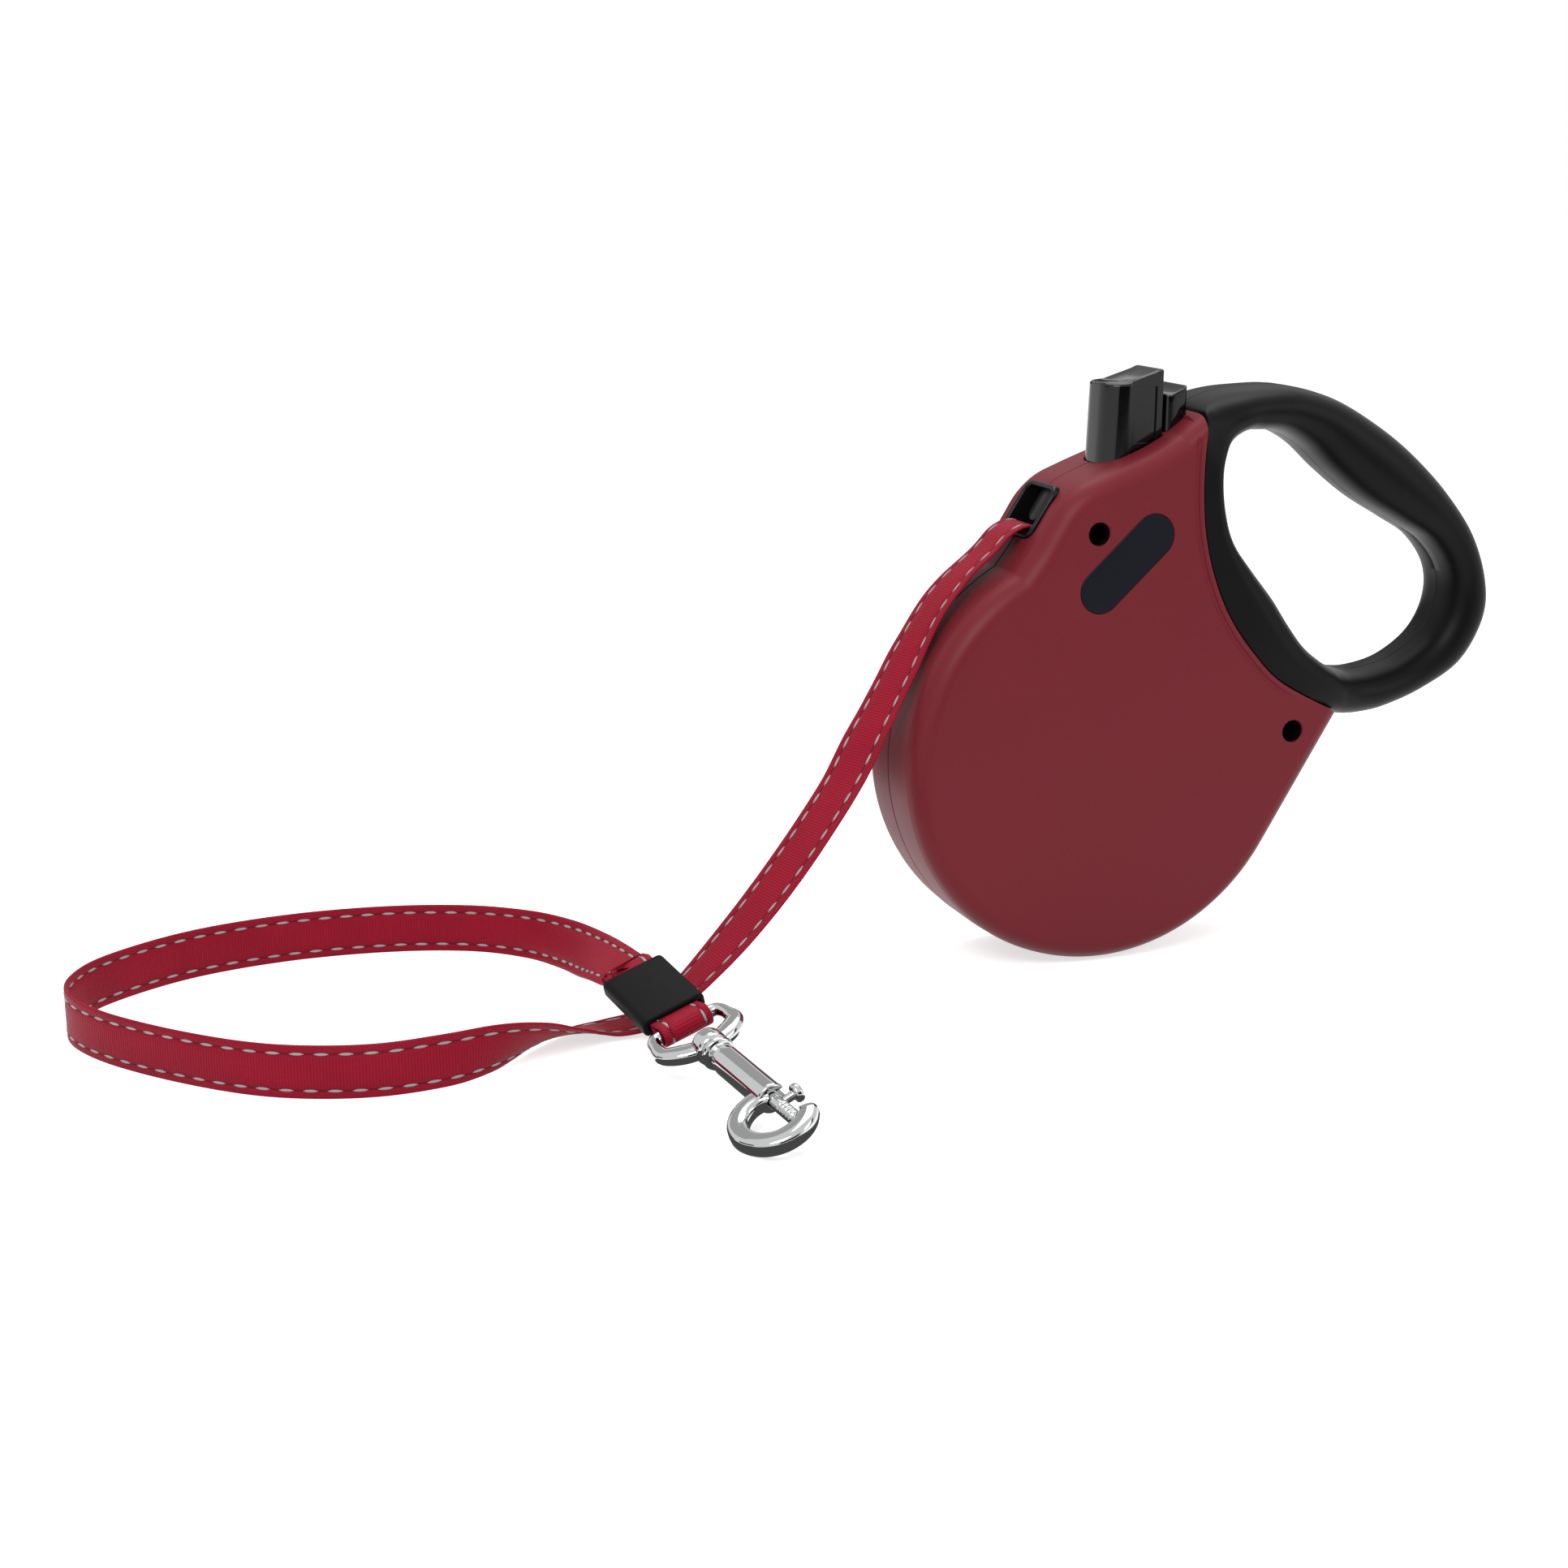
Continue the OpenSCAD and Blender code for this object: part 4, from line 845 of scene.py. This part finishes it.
def handle_half(name, side):
    """One half of the handle, with a narrow lip where it meets the other."""
    arc, lip, seam, swell = 26, 0.14, 0.02, 0.62
    half = arc // 2
    rings = []
    for xi, zi, xo, zo, thick, rounded in grip_sections(8):
        inner, outer = np.array([xi, zi]), np.array([xo, zo])
        wide = np.linalg.norm(outer - inner)
        points = [(lip / wide, seam)]
        for j in range(arc + 1):
            a = math.pi * j / arc
            oval = ((1 - math.cos(a)) / 2, max(math.sin(a), 0) ** swell)
            if j <= half:
                wall = oval
            elif j < arc:
                f = (j - half) / (arc - 1 - half)
                wall = (min(0.5 + 0.5 * f, 1 - 0.35 / wide * (f > 0.98)), 1)
            else:
                wall = (1, 0)
            q, h = (w + (o - w) * rounded for w, o in zip(wall, oval))
            points.append((q, max(h * thick, lip + seam)))
        points.append((1 - lip / wide, seam))
        rings.append([(x + SPOOL_X, side * y, z)
                      for (x, z), y in ((inner + q * (outer - inner), y) for q, y in points)])
    return loft(name, rings, closed=True)


for side, word in HALVES:
    o = handle_half(f"handle_{word}_shell", side)
    place(smoothed(o, 38), GRIP, "casing", "grip_black", f"{word}_handle")


def ridge(name, path, side, wide, high):
    """A low rounded ridge along a line on a face of the casing."""
    rings = []
    sunk, foot, toe = HALF_T - 0.02, HALF_T - 0.27, 0.2
    for i, (p, t) in enumerate(zip(path, unit(np.gradient(path, axis=0)))):
        out = np.array([-t[1], t[0]])
        ease = min(1, i / 5, (len(path) - 1 - i) / 5)
        ring = [(math.cos(a) * wide / 2, sunk + high * ease * math.sin(a) ** 0.8)
                for a in np.radians(np.arange(0, 181, 22.5))]
        ring += [(-toe, foot), (toe, foot)]
        rings.append([(p[0] + out[0] * d + SPOOL_X, side * y, p[1] + out[1] * d)
                      for d, y in ring])
    return loft(name, rings)


BEADS = ((0.95, 1.5, 0.55), (2.6, 0.6, 0.2))     # inset, width and height
span = BORDER_LINE[10:-10]
run = unit(np.gradient(span, axis=0))
for side, word in HALVES:
    for k, (inset, wide, high) in enumerate(BEADS):
        moved = span + inset * np.stack([run[:, 1], -run[:, 0]], 1)
        o = ridge(f"border_bead_{word}_{k}", moved, side, wide, high)
        place(smoothed(o, 50), RED, "casing", "casing_red")


# ---------- buttons
def capped_block(name, outline, z0, top, edge, shrink=7):
    """An upright block whose top follows top(x, y), with a rounded rim."""
    size = np.abs(outline).max(0)
    rings = []

    def ring(inset, height):
        f = 1 - inset / size
        rings.append([(x * f[0], y * f[1], height(x * f[0], y * f[1])) for x, y in outline])

    for k in range(6):
        ring(0, lambda x, y: z0 + (top(x, y) - edge - z0) * k / 6)
    for a in np.radians(np.arange(0, 91, 15)):
        ring(edge * (1 - math.cos(a)), lambda x, y: top(x, y) - edge * (1 - math.sin(a)))
    least = min(size) - edge
    for k in range(1, shrink):
        ring(edge + least * k / shrink, top)
    return loft(name, rings)


def saddle(x, y):
    """The thumb's saddle, low near the front and rising to the back."""
    r, lowest = 26.0, 5 - BUTTON_L / 2
    return BUTTON_Z - 1.3 + r - math.sqrt(r * r - (x - lowest) ** 2) + 0.006 * y * y


BUTTON_FOOT, LEAN, LEAN_H = 146, 1.2, 34
button = capped_block("brake_button_cap", outline_points(BUTTON_L, BUTTON_W, (1.6, 6.8, 6.8, 1.6)),
                      BUTTON_FOOT, saddle, 1.2)
for v in button.data.vertices:           # the front leans back as it rises
    rise = (v.co.z / MM - BUTTON_FOOT) / LEAN_H
    front = min(max(0.5 - v.co.x / MM / BUTTON_L, 0), 1)
    v.co.x += (BUTTON_MID + SPOOL_X + LEAN * rise * front) * MM
# what is let into each side: x range, z range and depth
CREASE = BUTTON_X + 8.6
RELIEFS = ((CREASE, BUTTON_X + BUTTON_L + 1, *TOP_CUT, 0.7),
           (CREASE + 1.9, CREASE + 8.6, 157.5, 174.2, 1.3))
for s in (-1, 1):
    for x0, x1, z0, z1, depth in RELIEFS:
        y0, y1 = sorted((s * (BUTTON_W / 2 - depth), s * (BUTTON_W / 2 + 1)))
        cut(button, box_at("side", (x0 + SPOOL_X, y0, z0), (x1 + SPOOL_X, y1, z1)))
place(flat_faced(softened(button, 0.45, 35), 40), GLOSS, "brake", "button_black", "brake_button")

LOCK_FOOT, LOCK_SLOPE = 160.5, math.tan(math.radians(36))


def lock_top(x, y):
    """The lock's top, hollow along and rising to the rear."""
    t = x / LOCK_L + 0.5
    return 171.7 + 2.6 * t * t - 0.9 * math.sin(math.pi * t) + 0.005 * y * y


lock = capped_block("lock_button_cap", outline_points(LOCK_L, LOCK_W, (1, 1.6, 1.6, 1), 6),
                    LOCK_FOOT, lock_top, 0.8, shrink=4)
for v in lock.data.vertices:             # the foot follows the casing's slope
    x = v.co.x / MM + LOCK_L / 2
    low = max(0.0, 1 - (v.co.z / MM - LOCK_FOOT) / 9)
    v.co.z += low * x * LOCK_SLOPE * MM
    v.co.x += (LOCK_X + LOCK_L / 2 + SPOOL_X) * MM
STEM_X, STEM_HALF, STEM_Z = (LOCK_X + 0.3, LOCK_X + 2.5), 4, (152, 164)
joined(lock, box_at("stem", (STEM_X[0] + SPOOL_X, -STEM_HALF, STEM_Z[0]),
                    (STEM_X[1] + SPOOL_X, STEM_HALF, STEM_Z[1]), 0.2))
place(smoothed(lock, 40), GLOSS, "lock", "button_black", "lock_button")


# ---------- tape outlet
def mouth_ring(inset, z):
    radii = [max(MOUTH_R - inset, 1.2)] * 4
    return [at_mouth(x, y, z) for x, y in
            outline_points(MOUTH_H - 2 * inset, MOUTH_W - 2 * inset, radii, 9)]


def outlet_bezel():
    """A flanged sleeve round the tape, its two lips rounded, and its tongue."""
    quarter = np.radians(np.arange(0, 91, 15))
    lip_out, lip_in, flange = 0.9, 0.8, 1.0
    rings = [mouth_ring(0, MOUTH_BACK), mouth_ring(0, -5.6), mouth_ring(-flange, -5.55),
             mouth_ring(-flange, -4.25), mouth_ring(0, -4.2)]
    rings += [mouth_ring(lip_out * (1 - math.cos(a)), 0.1 + lip_out * math.sin(a))
              for a in quarter]
    rings += [mouth_ring(MOUTH_WALL - lip_in * (1 - math.sin(a)), 0.2 + lip_in * math.cos(a))
              for a in quarter]
    o = loft("outlet_bezel", rings + [mouth_ring(MOUTH_WALL, MOUTH_BACK)], closed=True)
    tongue = []
    root, tip, aside = 7.6, 1.5, 0.6
    for z, half_w in ((-3.6, 3.5), (-3.3, 4), (-1.9, 4), (-1.6, 3.5)):
        arc = [(tip - half_w * math.sin(a), half_w * math.cos(a))
               for a in np.radians(np.linspace(0, 180, 15))]
        arc = [(root, half_w)] + arc + [(root, -half_w)]
        tongue.append([at_mouth(x, y - aside, z) for x, y in arc])
    return joined(o, loft("tongue", tongue))


place(smoothed(outlet_bezel(), 38), TRIM, "casing", "trim_black", "tape_outlet")


# ---------- keeper and fold
KEEPER_W, KEEPER_H, KEEPER_EDGE, KEEPER_HOLE = 19.5, 5.6, 0.8, 1.5


def keeper_ring(inset, y):
    """A section of the sleeve, crowned on its outside."""
    crown = 0.35 * (1 - (y / KEEPER_HALF) ** 2)
    pts = outline_points(KEEPER_W - 2 * inset, KEEPER_H - 2 * inset,
                         [max(1.9 - inset, 0.5)] * 4, 7)
    out = []
    for x, z in pts:
        bulge = crown * max(0.0, 1 - (2 * x / KEEPER_W) ** 2) * (1 if z > 0 else -0.4)
        out.append(snap_point(x, y, z + bulge * (inset < 1)) + SHIFT)
    return out


def keeper_sleeve():
    quarter = np.radians(np.arange(0, 91, 18))
    end, edge = KEEPER_HALF, KEEPER_EDGE
    rings = [keeper_ring(edge * (1 - math.sin(a)), -end + edge * (1 - math.cos(a)))
             for a in quarter]
    rings += [keeper_ring(0, y) for y in np.linspace(-10, 10, 9)]
    rings += [keeper_ring(edge * (1 - math.cos(a)), end - edge * (1 - math.sin(a)))
              for a in quarter]
    rings += [keeper_ring(KEEPER_HOLE, y) for y in (end - 0.1, 0.1 - end)]
    return loft("keeper_sleeve", rings, closed=True)


keeper = keeper_sleeve()
place(smoothed(keeper, 40), RUBBER, "casing", "keeper_rubber", "keeper")

EYE_WIRE, BAR_REACH = 1.9, 5.4
BAR_Y = KEEPER_HALF + BAR_REACH
FOLD_R = EYE_WIRE + 0.3 + TAPE_T / 2


def fold_line():
    """(y, z) along the tape's doubled end, round the eye's bar and back."""
    rise = math.asin((FOLD_R - LAYER_Z) / BAR_REACH)
    spread = [(KEEPER_HALF + d * math.cos(rise), LAYER_Z + d * math.sin(rise))
              for d in (1.2, 2.6, 4.0)]
    turned = np.linspace(math.pi / 2 + rise, -math.pi / 2 - rise, 17)
    out = [(y, LAYER_Z) for y in np.linspace(-10.6, KEEPER_HALF, 12)] + spread
    out += [(BAR_Y + FOLD_R * math.cos(a), FOLD_R * math.sin(a)) for a in turned]
    out += [(y, -z) for y, z in spread[::-1]]
    return out + [(y, -LAYER_Z) for y in np.linspace(KEEPER_HALF, -7.6, 10)]


fold_points = np.array([snap_point(0, y, z) for y, z in fold_line()]) + SHIFT
fold_lay = straight_lay(fold_points, SNAP @ np.array([1.0, 0, 0]))
fold = tape_mesh("webbing_fold", fold_lay)
place(fold, WEBBING, "casing", "tape_red", "tape_fold")
fold_stitches = stitch_rows("fold_stitches", fold_lay, start=3.0, sides=(-1,))
place(fold_stitches, STITCH, "casing", "tape_red")

# ---------- swivel eye and snap
# y is counted from the eye's bar towards the ring
EYE_L = 16.0
BAR = snap_point(0, BAR_Y, 0) + SHIFT
AT_BAR = SNAP @ turn("x", 6)
AT_HOOK = AT_BAR @ turn("y", 5)


def lathe(frame_at, profile, steps=40):
    """Turns (y, radius) pairs round the local Y axis; ends at radius 0 close it."""
    return [[BAR + frame_at @ np.array([r * math.cos(a), y, r * math.sin(a)])
             for a in circle(steps)] for y, r in profile]


def rounded_profile(points, edge):
    """Softens the corners of a turned profile."""
    out = [points[0]]
    for a, b, c in zip(points, points[1:], points[2:]):
        a, b, c = (np.array(v, float) for v in (a, b, c))
        d = min(edge, np.linalg.norm(b - a) / 2.2, np.linalg.norm(c - b) / 2.2)
        p, q = b + unit(a - b) * d, b + unit(c - b) * d
        for t in (0, 0.33, 0.67, 1):
            out.append(tuple((1 - t) ** 2 * p + 2 * t * (1 - t) * b + t * t * q))
    return out + [points[-1]]


def eye_loop():
    """A round bar bent into a loop, flatter and wider towards the collar."""
    half = [(8, 0), (10.4, 1.4), (11.2, 5), (11, 9.5), (7.4, 13), (3.6, 14.6)]
    points = [(-8, 0), (0, 0)] + half + [(0, 15)] + [(-x, y) for x, y in half[:0:-1]]
    line = catmull(points, 8, closed=True)
    rings = []
    for i, p in enumerate(line):
        t = unit(line[(i + 1) % len(line)] - line[i - 1])
        ease = float(np.clip((p[1] - 4) / 9, 0, 1))
        wide, high = EYE_WIRE + 1.1 * ease, EYE_WIRE + 0.1 * ease
        p = p - [0, 1.1 * ease]
        ring = []
        for a in circle(16):
            c, s = squared(a, 1 - 0.35 * ease)
            ring.append(BAR + AT_BAR @ np.array([p[0] + wide * c * t[1], p[1] - wide * c * t[0],
                                                 high * s]))
        rings.append(ring)
    return loft("eye_loop", rings, closed=True)


eye = eye_loop()
COLLAR_BORE, COLLAR_END = 2.35, 17.8
collar = [(12.1, COLLAR_BORE), (12.1, 4.5), (13.2, 4.9), (15.6, 5.0), (17.0, 4.8),
          (COLLAR_END, 4.2), (COLLAR_END, COLLAR_BORE)]          # y and radius
joined(eye, loft("eye_collar", lathe(AT_BAR, rounded_profile(collar, 0.5)), closed=True))
cut(eye, loft("bore", lathe(AT_BAR, [(9, 3.9), (14.15, 3.9), (14.2, 2.28), (19, 2.28)])))
place(smoothed(eye, 42), CHROME, "eye", "chrome", "swivel_eye")

BOLT_R, BARREL_R, BARREL_END, KNOB_Y = 2.0, 4.2, EYE_L + 32, EYE_L + 35
RING_X, RING_Y, RING_IN, RING_OUT, RING_HALF = 4.1, EYE_L + 39, 6.4, 12.0, 2.5
RING_START, RING_END = -124, 163


def hook_ring():
    """The flat open ring, swelling at its root and rounded at its nose."""
    rings = []
    for deg in np.linspace(RING_START, RING_END, 72):
        a = math.radians(deg)
        swell = 1 + 0.25 * max(0, -95 - deg) / 29
        nose = float(np.clip((RING_END - deg) / 15, 0, 1)) ** 0.5
        start = float(np.clip((deg - RING_START) / 6, 0.3, 1))
        belly = 0.5 * math.sin(math.radians((deg - 30) / 110 * 180)) if 30 < deg < 140 else 0
        outer = RING_OUT + belly
        mid_r, half_r = (RING_IN + outer) / 2, (outer - RING_IN) / 2 * swell * max(nose, 0.25)
        ring = []
        for b in circle(20):
            c, s = squared(b, 0.62)
            r = mid_r + half_r * c
            ring.append(BAR + AT_HOOK @ np.array([
                RING_X + r * math.cos(a), RING_Y + r * math.sin(a),
                RING_HALF * max(nose, 0.3) * start * s]))
        rings.append(ring)
    return loft("hook_ring", rings)


def hook_box(low, high):
    o = box_at("cutter", low, high)
    for v in o.data.vertices:
        v.co = Vector((BAR + AT_HOOK @ (np.array(v.co) / MM)) * MM)
    return o


def snap_hook():
    """Shank head, swivel flanges, barrel and ring, with the bolt's bore and slot."""
    # y and radius, from the shank's head to the barrel's end
    shank = [(12.3, 0.01), (12.3, 3.4), (13.9, 3.5), (13.9, 2.2), (18.1, 2.2), (18.1, 4.5),
             (18.9, 4.9), (20.1, 4.6), (20.3, 3.7), (21.0, 3.5), (22.3, 3.9),
             (24.5, BARREL_R), (40, BARREL_R), (BARREL_END - 0.6, BARREL_R),
             (BARREL_END, 3.9), (BARREL_END, 0.01)]
    o = loft("hook_shank", lathe(AT_HOOK, rounded_profile(shank, 0.4)))
    joined(o, hook_ring())
    bore_r, slot_half = BOLT_R + PART_GAP, 1.5
    bore = loft("bore", lathe(AT_HOOK, [(22, bore_r), (54, bore_r)]))
    joined(bore, hook_box((-6.2, KNOB_Y - 9.5, -slot_half), (-0.4, BARREL_END + 1, slot_half)))
    joined(bore, hook_box((-bore_r, RING_Y - 2, -5), (bore_r, EYE_L + 44.3, 5)))
    return cut(o, bore)


hook = snap_hook()
place(smoothed(softened(hook, 0.12), 40), CHROME, "hook", "chrome", "hook_body")

BOLT_START, BOLT_END = 42, EYE_L + 44
bolt_profile = [(BOLT_START, 0.01), (BOLT_START, BOLT_R)]
for k in range(4):
    groove = KNOB_Y + 2.4 + 1.5 * k
    bolt_profile += [(groove, BOLT_R), (groove + 0.2, BOLT_R - 0.3),
                     (groove + 0.6, BOLT_R - 0.3), (groove + 0.8, BOLT_R)]
bolt_profile += [(BOLT_END - 0.8, BOLT_R), (BOLT_END, BOLT_R - 0.7), (BOLT_END, 0.01)]
bolt = loft("hook_bolt_pin", lathe(AT_HOOK, rounded_profile(bolt_profile, 0.2), 28))
place(smoothed(bolt, 45), CHROME, "bolt", "chrome", "hook_bolt")

# the thumb knob: distance out from the bolt's axis, and radius
knob_profile = [(0.95, 0.01), (0.95, 1.2), (4.6, 1.25), (4.7, 2.3), (5.1, 2.6), (6.3, 2.6),
                (6.8, 2.1), (6.95, 0.01)]
knob = loft("thumb_knob_head", [
    [BAR + AT_HOOK @ np.array([-d, KNOB_Y + r * math.cos(a), r * math.sin(a)])
     for a in circle(28)] for d, r in rounded_profile(knob_profile, 0.3)])
place(smoothed(knob, 45), CHROME, "bolt", "chrome", "thumb_knob")

# ---------- button's return spring
WIRE, COIL_R, COIL_TURNS, COIL_Z, COIL_H, SPRING_X = 0.35, 2.5, 6, 132.15, 13.4, 2.2


def return_spring():
    """A coil of wire under the button."""
    rings = []
    for t in np.linspace(0, COIL_TURNS, COIL_TURNS * 28 + 1):
        a = 2 * math.pi * t
        z = COIL_Z + COIL_H * t / COIL_TURNS
        rings.append([(SPRING_X + SPOOL_X + (COIL_R + WIRE * math.cos(b)) * math.cos(a),
                       (COIL_R + WIRE * math.cos(b)) * math.sin(a), z + WIRE * math.sin(b))
                      for b in circle(10)])
    return loft("return_spring", rings)


spring = return_spring()
place(spring, STEEL, "casing", "steel", "brake_spring")
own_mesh(spring)

# ---------- CAD nodes that stay
for names, mat in (
        (("casing_screws", "axle", "front_washer", "rear_washer", "power_spring",
          "bolt_spring"), STEEL),
        (("spool", "spool_cover", "brake_bar"), NYLON)):
    for node in names:
        smoothed(dress(NODES[node], mat), 34)
